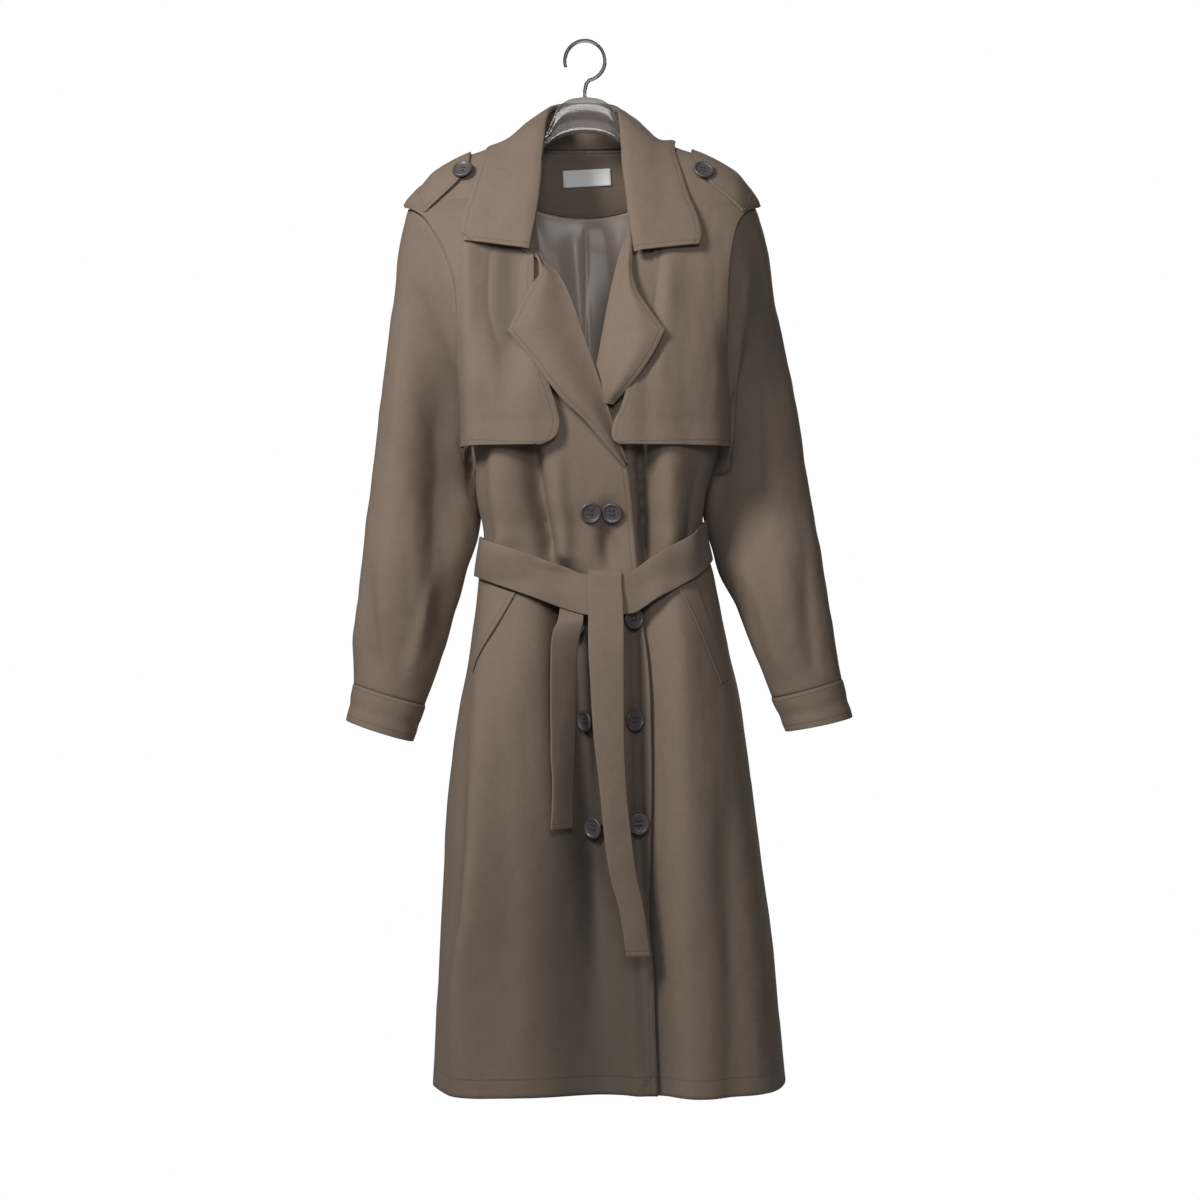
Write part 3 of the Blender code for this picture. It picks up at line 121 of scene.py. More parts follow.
# %% Fold tables
BODY_FOLDS = (
    # Gathers above the belt, front
    (-1, ((-0.088, -0.400, 0.0, 0.014), (-0.092, -0.450, 0.008, 0.014), (-0.090, -0.500, 0.011, 0.014),
          (-0.084, -0.545, 0.011, 0.015), (-0.092, -0.590, 0.0, 0.012))),
    (-1, ((-0.068, -0.400, 0.0, 0.012), (-0.063, -0.455, -0.018, 0.013), (-0.054, -0.507, -0.021, 0.011),
          (-0.043, -0.552, -0.020, 0.010), (-0.040, -0.590, 0.0, 0.012))),
    (-1, ((-0.032, -0.430, 0.0, 0.012), (-0.028, -0.490, 0.005, 0.013), (-0.021, -0.545, 0.007, 0.012),
          (-0.020, -0.595, 0.0, 0.012))),
    (-1, ((0.024, -0.500, 0.0, 0.011), (0.026, -0.550, -0.012, 0.012), (0.028, -0.590, 0.0, 0.012))),
    # Skirt, front: the ridges and the deep trough below the belt
    (-1, ((-0.098, -0.580, 0.0, 0.016), (-0.103, -0.680, 0.009, 0.018), (-0.107, -0.860, 0.018, 0.017),
          (-0.110, -0.950, 0.024, 0.017), (-0.122, -1.020, 0.022, 0.020), (-0.128, -1.137, 0.010, 0.024))),
    (-1, ((-0.070, -0.600, 0.0, 0.016), (-0.072, -0.720, 0.006, 0.018), (-0.074, -0.860, 0.004, 0.022),
          (-0.078, -1.000, 0.0, 0.026))),
    (-1, ((-0.030, -0.565, 0.0, 0.014), (-0.024, -0.612, -0.038, 0.024), (-0.014, -0.740, -0.044, 0.027),
          (0.002, -0.860, -0.036, 0.029), (0.012, -0.950, -0.026, 0.032), (0.018, -1.050, -0.010, 0.040),
          (0.020, -1.137, -0.004, 0.044))),
    (-1, ((-0.006, -0.680, 0.0, 0.058), (-0.005, -0.820, -0.016, 0.064), (0.000, -0.950, -0.030, 0.072),
          (0.008, -1.050, -0.032, 0.078), (0.014, -1.137, -0.028, 0.084))),
    (-1, ((0.056, -0.590, 0.0, 0.008), (0.058, -0.640, -0.016, 0.011), (0.064, -0.740, -0.018, 0.012),
          (0.068, -0.900, -0.015, 0.013), (0.072, -1.020, -0.010, 0.016), (0.080, -1.137, -0.004, 0.018))),
    (-1, ((0.044, -0.700, 0.0, 0.010), (0.048, -0.860, 0.004, 0.010), (0.052, -0.960, 0.006, 0.010),
          (0.060, -1.137, 0.005, 0.012))),
    # Back: a hollow between the shoulder blades, then the skirt's flutes
    (1, ((0.000, -0.220, 0.0, 0.020), (0.004, -0.330, -0.006, 0.020), (0.008, -0.520, -0.007, 0.016),
         (0.008, -0.560, 0.0, 0.016))),
    (1, ((-0.066, -0.440, 0.0, 0.014), (-0.062, -0.530, 0.009, 0.011), (-0.060, -0.575, 0.006, 0.013),
         (-0.074, -0.800, 0.012, 0.022), (-0.092, -1.137, 0.016, 0.028))),
    (1, ((-0.040, -0.450, 0.0, 0.010), (-0.038, -0.540, -0.007, 0.009), (-0.040, -0.600, -0.003, 0.010),
         (-0.044, -0.640, 0.0, 0.012))),
    (1, ((-0.022, -0.560, 0.0, 0.014), (-0.022, -0.700, -0.011, 0.016), (-0.030, -0.900, -0.014, 0.022),
         (-0.034, -1.137, -0.014, 0.026))),
    (1, ((0.044, -0.440, 0.0, 0.014), (0.040, -0.530, 0.009, 0.011), (0.042, -0.600, 0.008, 0.015),
         (0.054, -0.850, 0.013, 0.022), (0.062, -1.137, 0.015, 0.028))),
    (1, ((0.072, -0.450, 0.0, 0.010), (0.068, -0.540, -0.006, 0.009), (0.070, -0.610, 0.0, 0.010))),
    (1, ((0.088, -0.600, 0.0, 0.016), (0.100, -0.820, -0.010, 0.020), (0.122, -1.137, -0.012, 0.024))),
    (1, ((-0.104, -0.620, 0.0, 0.014), (-0.116, -0.820, -0.007, 0.018), (-0.136, -1.137, -0.009, 0.022))),
)
# Folds of the left front alone, which start outside the lap
LEFT_FOLDS = (
    (-1, ((0.060, -0.370, 0.0, 0.010), (0.061, -0.430, -0.020, 0.010), (0.064, -0.545, -0.020, 0.009),
          (0.070, -0.600, 0.0, 0.010))),
    (-1, ((0.094, -0.370, 0.0, 0.018), (0.093, -0.440, 0.010, 0.020), (0.090, -0.540, 0.012, 0.017),
          (0.090, -0.590, 0.0, 0.015))),
    (-1, ((0.122, -0.450, 0.0, 0.009), (0.117, -0.500, -0.004, 0.008), (0.112, -0.545, -0.006, 0.007),
          (0.110, -0.580, 0.0, 0.008))),
    (-1, ((0.098, -0.570, 0.0, 0.014), (0.100, -0.660, 0.010, 0.024), (0.106, -0.860, 0.012, 0.030),
          (0.112, -1.000, 0.010, 0.032), (0.118, -1.137, 0.007, 0.034))),
    (-1, ((0.146, -0.800, 0.0, 0.014), (0.152, -0.920, -0.006, 0.015), (0.158, -1.137, -0.007, 0.018))),
)
CAPE_FOLDS = (
    (-1, ((-0.118, -0.170, 0.0, 0.011), (-0.125, -0.240, 0.008, 0.012), (-0.127, -0.330, 0.008, 0.015),
          (-0.126, -0.449, 0.005, 0.018))),
    (-1, ((-0.084, -0.205, 0.0, 0.012), (-0.086, -0.250, -0.014, 0.014), (-0.087, -0.305, -0.013, 0.015),
          (-0.084, -0.355, -0.009, 0.016), (-0.078, -0.410, -0.002, 0.016), (-0.078, -0.449, 0.0, 0.016))),
    (-1, ((-0.056, -0.240, 0.0, 0.013), (-0.056, -0.290, 0.004, 0.014), (-0.056, -0.380, 0.004, 0.018),
          (-0.056, -0.449, 0.002, 0.020))),
    (-1, ((0.062, -0.200, 0.0, 0.010), (0.064, -0.255, -0.014, 0.012), (0.062, -0.310, -0.010, 0.012),
          (0.064, -0.370, 0.0, 0.012))),
    (-1, ((0.088, -0.200, 0.0, 0.014), (0.086, -0.290, 0.005, 0.014), (0.084, -0.350, 0.004, 0.018),
          (0.084, -0.449, 0.003, 0.020))),
    (-1, ((0.046, -0.320, 0.0, 0.014), (0.050, -0.390, 0.005, 0.015), (0.052, -0.449, 0.004, 0.016))),
)
SLEEVE_FOLDS = (
    # Wearer's right, front and back
    (-1, ((-0.182, -0.250, 0.0, 0.014), (-0.172, -0.330, -0.010, 0.020), (-0.160, -0.400, -0.018, 0.026),
          (-0.156, -0.480, -0.018, 0.026), (-0.158, -0.560, -0.012, 0.020), (-0.160, -0.620, -0.008, 0.014),
          (-0.168, -0.680, 0.0, 0.014))),
    (-1, ((-0.204, -0.240, 0.0, 0.014), (-0.204, -0.360, 0.004, 0.015), (-0.206, -0.480, 0.005, 0.017),
          (-0.212, -0.580, 0.004, 0.018), (-0.216, -0.670, 0.0, 0.018))),
    (-1, ((-0.236, -0.560, 0.0, 0.010), (-0.232, -0.630, -0.006, 0.011), (-0.222, -0.700, -0.005, 0.011),
          (-0.218, -0.725, 0.0, 0.012))),
    (-1, ((-0.150, -0.560, 0.0, 0.010), (-0.170, -0.620, 0.005, 0.010), (-0.188, -0.690, 0.004, 0.010),
          (-0.192, -0.720, 0.0, 0.010))),
    (1, ((-0.186, -0.260, 0.0, 0.014), (-0.190, -0.400, 0.007, 0.015), (-0.196, -0.540, 0.006, 0.017),
         (-0.204, -0.650, 0.0, 0.018))),
    (1, ((-0.160, -0.360, 0.0, 0.012), (-0.164, -0.460, -0.009, 0.012), (-0.174, -0.570, 0.0, 0.014))),
    # Wearer's left, front and back
    (-1, ((0.160, -0.200, 0.0, 0.007), (0.160, -0.280, -0.009, 0.009), (0.156, -0.380, -0.010, 0.011),
          (0.152, -0.460, -0.006, 0.010), (0.148, -0.540, 0.0, 0.010))),
    (-1, ((0.190, -0.260, 0.0, 0.016), (0.194, -0.360, 0.003, 0.018), (0.200, -0.460, 0.004, 0.020),
          (0.216, -0.580, 0.004, 0.020), (0.230, -0.670, 0.0, 0.018))),
    (-1, ((0.238, -0.560, 0.0, 0.010), (0.243, -0.630, -0.005, 0.011), (0.247, -0.690, -0.004, 0.011),
          (0.250, -0.715, 0.0, 0.012))),
    (-1, ((0.170, -0.560, 0.0, 0.010), (0.190, -0.620, 0.004, 0.010), (0.212, -0.690, 0.003, 0.010),
          (0.216, -0.712, 0.0, 0.010))),
    (1, ((0.190, -0.260, 0.0, 0.014), (0.200, -0.400, 0.007, 0.015), (0.212, -0.540, 0.006, 0.017),
         (0.226, -0.650, 0.0, 0.018))),
    (1, ((0.166, -0.360, 0.0, 0.012), (0.172, -0.460, -0.009, 0.012), (0.186, -0.570, 0.0, 0.014))),
)
print("folds:", sum(map(len, (BODY_FOLDS, LEFT_FOLDS, CAPE_FOLDS, SLEEVE_FOLDS))))

# %% [markdown]
# ## Forms
# Smooth tables, the body's rings, and the folds laid on them.

# %% Tables and rings
def curve(xs, values, at):
    """A monotone cubic through (xs, values), xs increasing, read at any place."""
    xs, values = np.asarray(xs, float), np.asarray(values, float)
    at = np.clip(np.asarray(at, float), xs[0], xs[-1])
    step = np.diff(xs)
    slope = np.diff(values) / step
    product, total = slope[:-1] * slope[1:], slope[:-1] + slope[1:]
    mean = np.where(product > 0, 2 * product / np.where(product > 0, total, 1.0), 0.0)
    tangent = np.concatenate([slope[:1], mean, slope[-1:]])
    k = np.clip(np.searchsorted(xs, at, side="right") - 1, 0, len(step) - 1)
    t, h = (at - xs[k]) / step[k], step[k]
    return (
        (1 + 2 * t) * (1 - t) ** 2 * values[k]
        + t * (1 - t) ** 2 * h * tangent[k]
        + t * t * (3 - 2 * t) * values[k + 1]
        + t * t * (t - 1) * h * tangent[k + 1]
    )


def smooth(table, column, at):
    """A column of a table at any height."""
    return curve(table["z"][::-1], table[column][::-1], at)


def ease(t):
    """0 to 1 with a smooth start and end."""
    t = np.clip(t, 0.0, 1.0)
    return t * t * (3 - 2 * t)


def fold_rise(folds, side, x, z):
    """How far the folds of one table push the surface out at (x, z). Each fold is a little steeper
    on one of its sides than on the other."""
    x, z = np.broadcast_arrays(x, z)
    rise = np.zeros(x.shape)
    for number, (facing, line) in enumerate(folds):
        fx, fz, height, width = (np.array(column)[::-1] for column in zip(*line))
        off = x - np.interp(z, fz, fx)
        wide = np.interp(z, fz, width) * (1 + 0.3 * math.sin(2.1 * number + 0.6) * np.sign(off))
        rise += np.where(side == facing, curve(fz, height, z) * np.exp(-((off / wide) ** 2)), 0)
    return rise


def across(angle):
    """Share of the half width, and of the depth, at an angle round a ring."""
    wide = (np.sin(angle) + SQUARE * np.sin(3 * angle)) / (1 - SQUARE)
    deep = (np.cos(angle) - SQUARE * np.cos(3 * angle)) / (1 - SQUARE)
    return wide, deep


def ring(angle, z):
    """A plain ring of the body, before its folds."""
    wide, deep = across(angle)
    depth = np.where(deep > 0, smooth(BODY, "front", z), smooth(BODY, "back", z))
    x = smooth(BODY, "centre", z) + smooth(BODY, "half", z) * wide
    return np.stack([x, -depth * deep, z + 0 * x], axis=-1)


def unit(vectors):
    """Vectors of length 1 that point the same ways."""
    return vectors / np.maximum(np.linalg.norm(vectors, axis=-1, keepdims=True), 1e-12)


def normal(form, angle, z, step=2e-4):
    """Outward normal of a form, from points a little to each side."""
    down = form(angle, z - step) - form(angle, z + step)
    return unit(np.cross(down, form(angle + step, z) - form(angle - step, z)))


def body(angle, z):
    """The coat's body with its folds."""
    angle, z = np.broadcast_arrays(np.asarray(angle, float), np.asarray(z, float))
    plain = ring(angle, z)
    wide, deep = across(angle)
    out = np.stack([wide, -deep, 0 * wide], axis=-1)
    rise = fold_rise(BODY_FOLDS, np.where(deep > 0, -1, 1), plain[..., 0], z)
    return plain + out * (rise * ease(np.abs(deep) / 0.35))[..., None]


def on(form, angle, z, out=0.0):
    """A form's point moved out along its normal."""
    angle, z = np.broadcast_arrays(np.asarray(angle, float), np.asarray(z, float))
    return form(angle, z) + normal(form, angle, z) * np.asarray(out)[..., None]


QUARTER = np.linspace(-math.pi / 2, math.pi / 2, 361)


def angle_at(x, z, behind=False):
    """The angle of the body ring whose point has this x, in front or behind."""
    x, z = np.broadcast_arrays(np.asarray(x, float), np.asarray(z, float))
    share = np.clip((x - smooth(BODY, "centre", z)) / smooth(BODY, "half", z), -1, 1)
    angle = np.interp(share, across(QUARTER)[0], QUARTER)
    if behind:
        return np.where(angle < 0, -math.pi - angle, math.pi - angle)
    return angle


def lap_sink(x, z):
    """How far the left front lies in: under the lap and a little past its edge."""
    return UNDERLAP_DEPTH * (1 - ease((x - smooth(EDGE_RIGHT, "x", z) - LAP_PAST) / LAP_OVER))


def left_body(angle, z):
    """The left front's form: the body, sunk under the right front's lap, with folds outside it."""
    p = body(angle, z)
    x = p[..., 0]
    rise = fold_rise(LEFT_FOLDS, -1, x, z) * ease((x - smooth(EDGE_RIGHT, "x", z)) / 0.014)
    return p + normal(body, angle, z) * (rise - lap_sink(x, z))[..., None]


def side_edge(z, side, behind=False):
    """Angle of a panel's outer edge: shoulder seam, armhole seam, then side seam."""
    gap = SEAM / 2 / smooth(BODY, "front", z)
    plain = side * (math.pi / 2 - gap * (-1 if behind else 1))
    if behind:
        x = side * smooth(ARMHOLE, "back", z) + smooth(BODY, "centre", z)
    else:
        x = smooth(ARMHOLE, "left" if side > 0 else "right", z)
    cut = angle_at(x, z, behind)
    limit = np.maximum if (side > 0) == behind else np.minimum
    return np.where((z < SHOULDER_TIP + 1e-6) & (z > ARMPIT + 1e-6), limit(cut, plain), plain)


waist_ring = [float(smooth(BODY, column, WAIST)) for column in ("half", "front", "back")]
print("waist ring, half width and depths:", np.round(waist_ring, 4))

# %% [markdown]
# ## Finishes
# Each is a Principled material with small node groups that feed it. Cloth has two maps on every
# piece: "cloth" is the place on the cut in metres, and "stitch" is the distance to the nearest
# row of stitches with the length along it.

# %% Node helpers
def node(tree, kind, inputs=(), **settings):
    """A new node with its inputs set or linked, by name or number."""
    made = tree.nodes.new(kind)
    for key, value in settings.items():
        setattr(made, key, value)
    for key, value in dict(inputs).items():
        if isinstance(value, bpy.types.NodeSocket):
            tree.links.new(value, made.inputs[key])
        else:
            made.inputs[key].default_value = value
    return made


def maths(tree, operation, *values):
    """One arithmetic step."""
    return node(tree, "ShaderNodeMath", dict(enumerate(values)), operation=operation).outputs[0]


def group(name, inputs, outputs):
    """An empty node group with its sockets; returns it with its input node's sockets."""
    made = bpy.data.node_groups.new(name, "ShaderNodeTree")
    for label, kind, value in inputs:
        socket = made.interface.new_socket(label, in_out="INPUT", socket_type=kind)
        socket.default_value = value
    for label, kind in outputs:
        made.interface.new_socket(label, in_out="OUTPUT", socket_type=kind)
    return made, node(made, "NodeGroupInput").outputs


def close_group(made, **results):
    """Links the results to a group's outputs, by name."""
    end = node(made, "NodeGroupOutput")
    for label, socket in results.items():
        made.links.new(socket, end.inputs[label.replace("_", " ")])


COLOUR, NUMBER, ARROW = "NodeSocketColor", "NodeSocketFloat", "NodeSocketVector"

# %% [markdown]
# The twill's fine diagonal, its flecks and soft cloudiness, a row of stitches that presses into it
# with painted shade in its groove, and painted shade in the cloth's troughs.

# %% Cloth group
WEAVE = 0.0011  # one diagonal of the twill
WAVE_PERIOD = 0.314  # of the wave texture at a scale of 1
FLECK_SCALE, PATCH_SCALE, CLOUD_SCALE = 900.0, 180.0, 14.0
WEAVE_HIGH = 0.00006
PATCH_HIGH = 0.00010
STITCH = 0.0030  # one stitch and its gap
STITCH_LONG = 0.68  # share of it that is thread
STITCH_WIDE = 0.0006
STITCH_HIGH = 0.00025
GROOVE_DEEP = 0.00022
# painted shade in a stitch's groove, as a share of the colour
GROOVE_PAINTED_SHADE = 0.09
THREAD_PALE = 0.20
TROUGH_PAINTED_SHADE = 0.45  # share of the colour that painted shade takes away in a deep trough


def cloth_group():
    """Woven cloth: its colour, roughness and relief from the two maps, and painted shade in its troughs from
    the trough attribute.
    """
    tree, given = group(
        "woven_cloth",
        [("Colour", COLOUR, (0.2, 0.15, 0.12, 1)), ("Flecks", NUMBER, 0.1), ("Clouds", NUMBER, 0.12),
         ("Relief", NUMBER, 0.3)],
        [("Base Color", COLOUR), ("Roughness", NUMBER), ("Normal", ARROW)],
    )
    place = node(tree, "ShaderNodeTexCoord").outputs["Object"]
    cut = node(tree, "ShaderNodeUVMap", uv_map="cloth").outputs[0]
    stitch = node(tree, "ShaderNodeUVMap", uv_map="stitch").outputs[0]
    row = node(tree, "ShaderNodeSeparateXYZ", {0: stitch})
    # Twill lines run at 60 degrees across the cut
    slant = (0, 0, math.radians(60))
    turned = node(tree, "ShaderNodeMapping", {"Vector": cut, "Rotation": slant}).outputs[0]
    wave = {"Vector": turned, "Scale": WAVE_PERIOD / WEAVE, "Distortion": 0.6, "Detail": 1.0}
    lines = node(tree, "ShaderNodeTexWave", wave, bands_direction="X").outputs["Fac"]
    fleck, patch, cloud = (
        node(tree, "ShaderNodeTexNoise", {"Vector": where, "Scale": scale, "Detail": detail}).outputs[0]
        for where, scale, detail in (
            (cut, FLECK_SCALE, 2.0), (place, PATCH_SCALE, 3.0), (place, CLOUD_SCALE, 3.0),
        )
    )
    # A seam's row of stitches: a soft groove whose colour painted shade darkens, with a thread in it for two
    # thirds of each stitch
    off = maths(tree, "ABSOLUTE", row.outputs[0])
    near, far = STITCH_WIDE * 0.6, STITCH_WIDE * 2.6
    groove = node(tree, "ShaderNodeMapRange", {0: off, 1: near, 2: far, 3: 1.0, 4: 0.0},
                  interpolation_type="SMOOTHSTEP").outputs[0]
    step = maths(tree, "FRACT", maths(tree, "DIVIDE", row.outputs[1], STITCH))
    thread = maths(tree, "MULTIPLY", maths(tree, "LESS_THAN", step, STITCH_LONG),
                   maths(tree, "LESS_THAN", off, STITCH_WIDE * 0.5))
    tone = 0.0
    for field, share in ((fleck, "Flecks"), (patch, "Flecks"), (cloud, "Clouds"), (lines, "Flecks")):
        tone = maths(tree, "MULTIPLY_ADD", maths(tree, "SUBTRACT", field, 0.5), given[share], tone)
    # Painted shade: the stitch groove's colour is made darker
    tone = maths(tree, "ADD", maths(tree, "MULTIPLY_ADD", groove, -GROOVE_PAINTED_SHADE, tone), 1.0)
    tone = maths(tree, "MULTIPLY_ADD", thread, THREAD_PALE, tone)
    # Painted shade: the colour is made darker in the cloth's troughs, by the trough attribute
    trough = node(tree, "ShaderNodeAttribute", attribute_name="trough").outputs["Fac"]
    tone = maths(tree, "MULTIPLY", tone, maths(tree, "MULTIPLY_ADD", trough, -TROUGH_PAINTED_SHADE, 1.0))
    shade = node(tree, "ShaderNodeVectorMath", {0: given["Colour"], "Scale": tone}, operation="SCALE")
    height = maths(tree, "MULTIPLY_ADD", lines, WEAVE_HIGH, maths(tree, "MULTIPLY", patch, PATCH_HIGH))
    height = maths(tree, "MULTIPLY_ADD", groove, -GROOVE_DEEP, height)
    height = maths(tree, "MULTIPLY_ADD", thread, STITCH_HIGH, height)
    bump = node(tree, "ShaderNodeBump", {"Strength": given["Relief"], "Distance": 1.0, "Height": height})
    rough = maths(tree, "MULTIPLY_ADD", patch, 0.12, 0.74)
    close_group(tree, Base_Color=shade.outputs[0], Roughness=rough, Normal=bump.outputs[0])
    return tree


CLOTH_GROUP = cloth_group()


def plain_finish(name, colour, roughness, **values):
    """A material of one tone."""
    made = bpy.data.materials.new(name)
    made.use_nodes = True
    shader = made.node_tree.nodes["Principled BSDF"]
    shader.inputs["Base Color"].default_value = (*colour, 1)
    shader.inputs["Roughness"].default_value = roughness
    for label, value in values.items():
        shader.inputs[label.replace("_", " ")].default_value = value
    return made


def cloth_finish(name, colour, flecks, clouds, relief, **values):
    """A cloth material: a plain finish whose colour, roughness and relief the group above feeds."""
    made = plain_finish(name, colour, 0.8, **values)
    tree = made.node_tree
    given = {"Colour": (*colour, 1), "Flecks": flecks, "Clouds": clouds, "Relief": relief}
    looks = node(tree, "ShaderNodeGroup", node_tree=CLOTH_GROUP)
    for label, value in given.items():
        looks.inputs[label].default_value = value
    for label in ("Base Color", "Roughness", "Normal"):
        tree.links.new(looks.outputs[label], tree.nodes["Principled BSDF"].inputs[label])
    return made


TWILL = cloth_finish("twill", (0.188, 0.1405, 0.1065), 0.22, 0.12, 1.0,
                     Sheen_Weight=0.04, Sheen_Roughness=0.5)
SATIN = cloth_finish("satin", (0.40, 0.322, 0.272), 0.04, 0.06, 0.3,
                     Coat_Weight=0.4, Coat_Roughness=0.28)
LABEL = cloth_finish("label", (0.95, 0.95, 0.96), 0.02, 0.02, 0.3)
HORN = plain_finish("horn", (0.085, 0.075, 0.079), 0.42, Coat_Weight=0.25, Coat_Roughness=0.25)
THREAD = plain_finish("thread", (0.05, 0.042, 0.038), 0.8)
CHROME = plain_finish("chrome", (0.80, 0.80, 0.82), 0.12, Metallic=1.0)
ACRYLIC = plain_finish("acrylic", (0.10, 0.085, 0.078), 0.08, IOR=1.49)
# the first tint is a painted highlight for edges seen edge-on; the second is the clear acrylic's smoky
# colour
EDGE_HIGHLIGHT_TINT, CLEAR_TINT = (0.62, 0.58, 0.56, 1), (0.12, 0.10, 0.092, 1)
EDGE_DENSE, CLEAR_DENSE = 0.92, 0.55
tree = ACRYLIC.node_tree
shader = tree.nodes["Principled BSDF"]
# Painted highlight: where the moulding is seen edge-on its colour turns pale and it grows dense; smoky and
# see-through between
edge = node(tree, "ShaderNodeLayerWeight", {"Blend": 0.5}).outputs["Facing"]
rim = node(tree, "ShaderNodeMapRange", {0: edge, 1: 0.45, 2: 0.85}).outputs[0]
highlight_tint = node(tree, "ShaderNodeMix", {0: rim, 6: CLEAR_TINT, 7: EDGE_HIGHLIGHT_TINT}, data_type="RGBA")
tree.links.new(highlight_tint.outputs[2], shader.inputs["Base Color"])
dense = node(tree, "ShaderNodeMapRange", {0: rim, 3: CLEAR_DENSE, 4: EDGE_DENSE}).outputs[0]
tree.links.new(dense, shader.inputs["Alpha"])
print("finishes:", [m.name for m in (TWILL, SATIN, LABEL, HORN, THREAD, ACRYLIC, CHROME)])

# %% [markdown]
# ## Cutting cloth
# A piece is a grid of points: rows run down it, columns run round the form towards the wearer's
# left in front. It becomes a thin shell whose outer skin is that grid.

# %% Cloth maker
made_pieces = {}
FULL_SHADE_DEPTH = 0.030  # a trough this deep gets the full painted shade
TURNED = DOUBLE * 0.75  # lapels and epaulettes, pressed thinner
EDGE_RIM = 0.0006  # how far a piece's cut edges are rounded
THIN_RIM = 0.0004
EDGE_STITCH = 0.005  # rows of stitches, in from an edge
FRONT_STITCH = 0.006
HEM_STITCH = 0.019


def running(line):
    """Running length along a line of points."""
    return np.concatenate([[0], np.cumsum(np.linalg.norm(np.diff(line, axis=0), axis=1))])


def lengths(points, axis):
    """Running length of a grid's lines along one axis."""
    steps = np.linalg.norm(np.diff(points, axis=axis), axis=-1)
    return np.concatenate([np.zeros_like(np.take(steps, [0], axis)), np.cumsum(steps, axis)], axis)


def grid_normals(points, tube=False):
    """Outward normals of a grid of points, from their neighbours."""
    if tube:
        ring_of = points[:, :-1]
        round_it = np.roll(ring_of, -1, axis=1) - np.roll(ring_of, 1, axis=1)
        round_it = np.concatenate([round_it, round_it[:, :1]], axis=1)
    else:
        round_it = np.gradient(points, axis=1)
    return unit(np.cross(np.gradient(points, axis=0), round_it))


def crumple(points, seed, height, tall=0.075, wide=0.030):
    """Moves a grid a little in and out: low, uneven waves, longer down the cloth than across."""
    offset = np.array([
        noise.noise((x / wide + seed, y / wide, z / tall))
        + 0.45 * noise.noise((x * 2.7 / wide, y / wide + seed, z * 2.3 / tall))
        for x, y, z in points.reshape(-1, 3)
    ]).reshape(points.shape[:2])
    return offset * height


def stitched(inset, *borders):
    """Rows of stitches at one inset from some borders."""
    return tuple((border, inset) for border in borders)


def sheet_of(points):
    """A sheet of faces whose corners are a grid of points."""
    shell = bmesh.new()
    rows, columns = points.shape[:2]
    bmesh.ops.create_grid(shell, x_segments=columns - 1, y_segments=rows - 1, size=1.0)
    shell.verts.ensure_lookup_table()
    for vert, place in zip(shell.verts, points.reshape(-1, 3)):
        vert.co = place
    return shell


def finish_piece(name, shell, finish, nodes, smooth_angle=60):
    """Turns a bmesh into a piece that stands for its CAD nodes."""
    mesh = bpy.data.meshes.new(name)
    shell.to_mesh(mesh)
    shell.free()
    for one in finish if isinstance(finish, tuple) else (finish,):
        mesh.materials.append(one)
    mesh.shade_smooth()
    mesh.set_sharp_from_angle(angle=math.radians(smooth_angle))
    piece = bpy.data.objects.new(name, mesh)
    bpy.context.scene.collection.objects.link(piece)
    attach(piece, "root")
    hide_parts(*nodes)
    made_pieces[name] = piece
    return piece


def cloth(name, points, thick, finish=TWILL, tube=False, stitch=(), rim=0.0, rise=None):
    """A shell of cloth from a grid. stitch gives each border's row of stitches by its inset, and
    rise says how high its folds stand, so that painted shade can darken the cloth's colour in its troughs."""
    rows, columns = points.shape[:2]
    u, v = lengths(points, 1), lengths(points, 0)
    u = u - u[:, [columns // 2]]
    borders = {
        "top": (v, u), "bottom": (v[-1:] - v, u),
        "left": (u - u[:, :1], v), "right": (u[:, -1:] - u, v),
    }
    near, along = np.full(u.shape, 0.1), np.zeros(u.shape)
    for border, inset in stitch:
        away, run = borders[border]
        closer = np.abs(away - inset) < np.abs(near)
        near, along = np.where(closer, away - inset, near), np.where(closer, run, along)
    shell = sheet_of(points)
    # The trough attribute carries painted shade: how much darker the colour is made at each point
    trough = shell.verts.layers.float.new("trough")
    depth = np.zeros(u.shape) if rise is None else ease(-rise / FULL_SHADE_DEPTH)
    for vert, deep in zip(shell.verts, depth.ravel()):
        vert[trough] = deep
    cut, row = (shell.loops.layers.uv.new(label) for label in ("cloth", "stitch"))
    flat = np.stack([u, v, near, along], axis=-1).reshape(-1, 4).tolist()
    for face in shell.faces:
        for loop in face.loops:
            values = flat[loop.vert.index]
            loop[cut].uv, loop[row].uv = values[:2], values[2:]
    bmesh.ops.reverse_faces(shell, faces=shell.faces)
    if tube:
        shell.verts.ensure_lookup_table()
        ends = [shell.verts[i * columns + j] for i in range(rows) for j in (0, columns - 1)]
        bmesh.ops.remove_doubles(shell, verts=ends, dist=1e-6)
    piece = finish_piece(name + "_cloth", shell, finish, (name,))
    wall = piece.modifiers.new("thickness", "SOLIDIFY")
    wall.thickness, wall.offset = thick, -1.0
    if rim:
        edge = piece.modifiers.new("rim", "BEVEL")
        edge.width, edge.segments = rim, 2
        edge.limit_method, edge.angle_limit = "ANGLE", math.radians(60)
    return piece


def tuck(points, n, borders, depth=0.0009, reach=0.004):
    """Rolls the sewn borders of a grid in, so that a seam reads as a soft line."""
    u, v = lengths(points, 1), lengths(points, 0)
    away = {"top": v, "bottom": v[-1:] - v, "left": u, "right": u[:, -1:] - u}
    sink = sum(np.exp(-((away[border] / reach) ** 2)) for border in borders)
    return points - n * (np.minimum(sink, 1.0) * depth)[..., None]


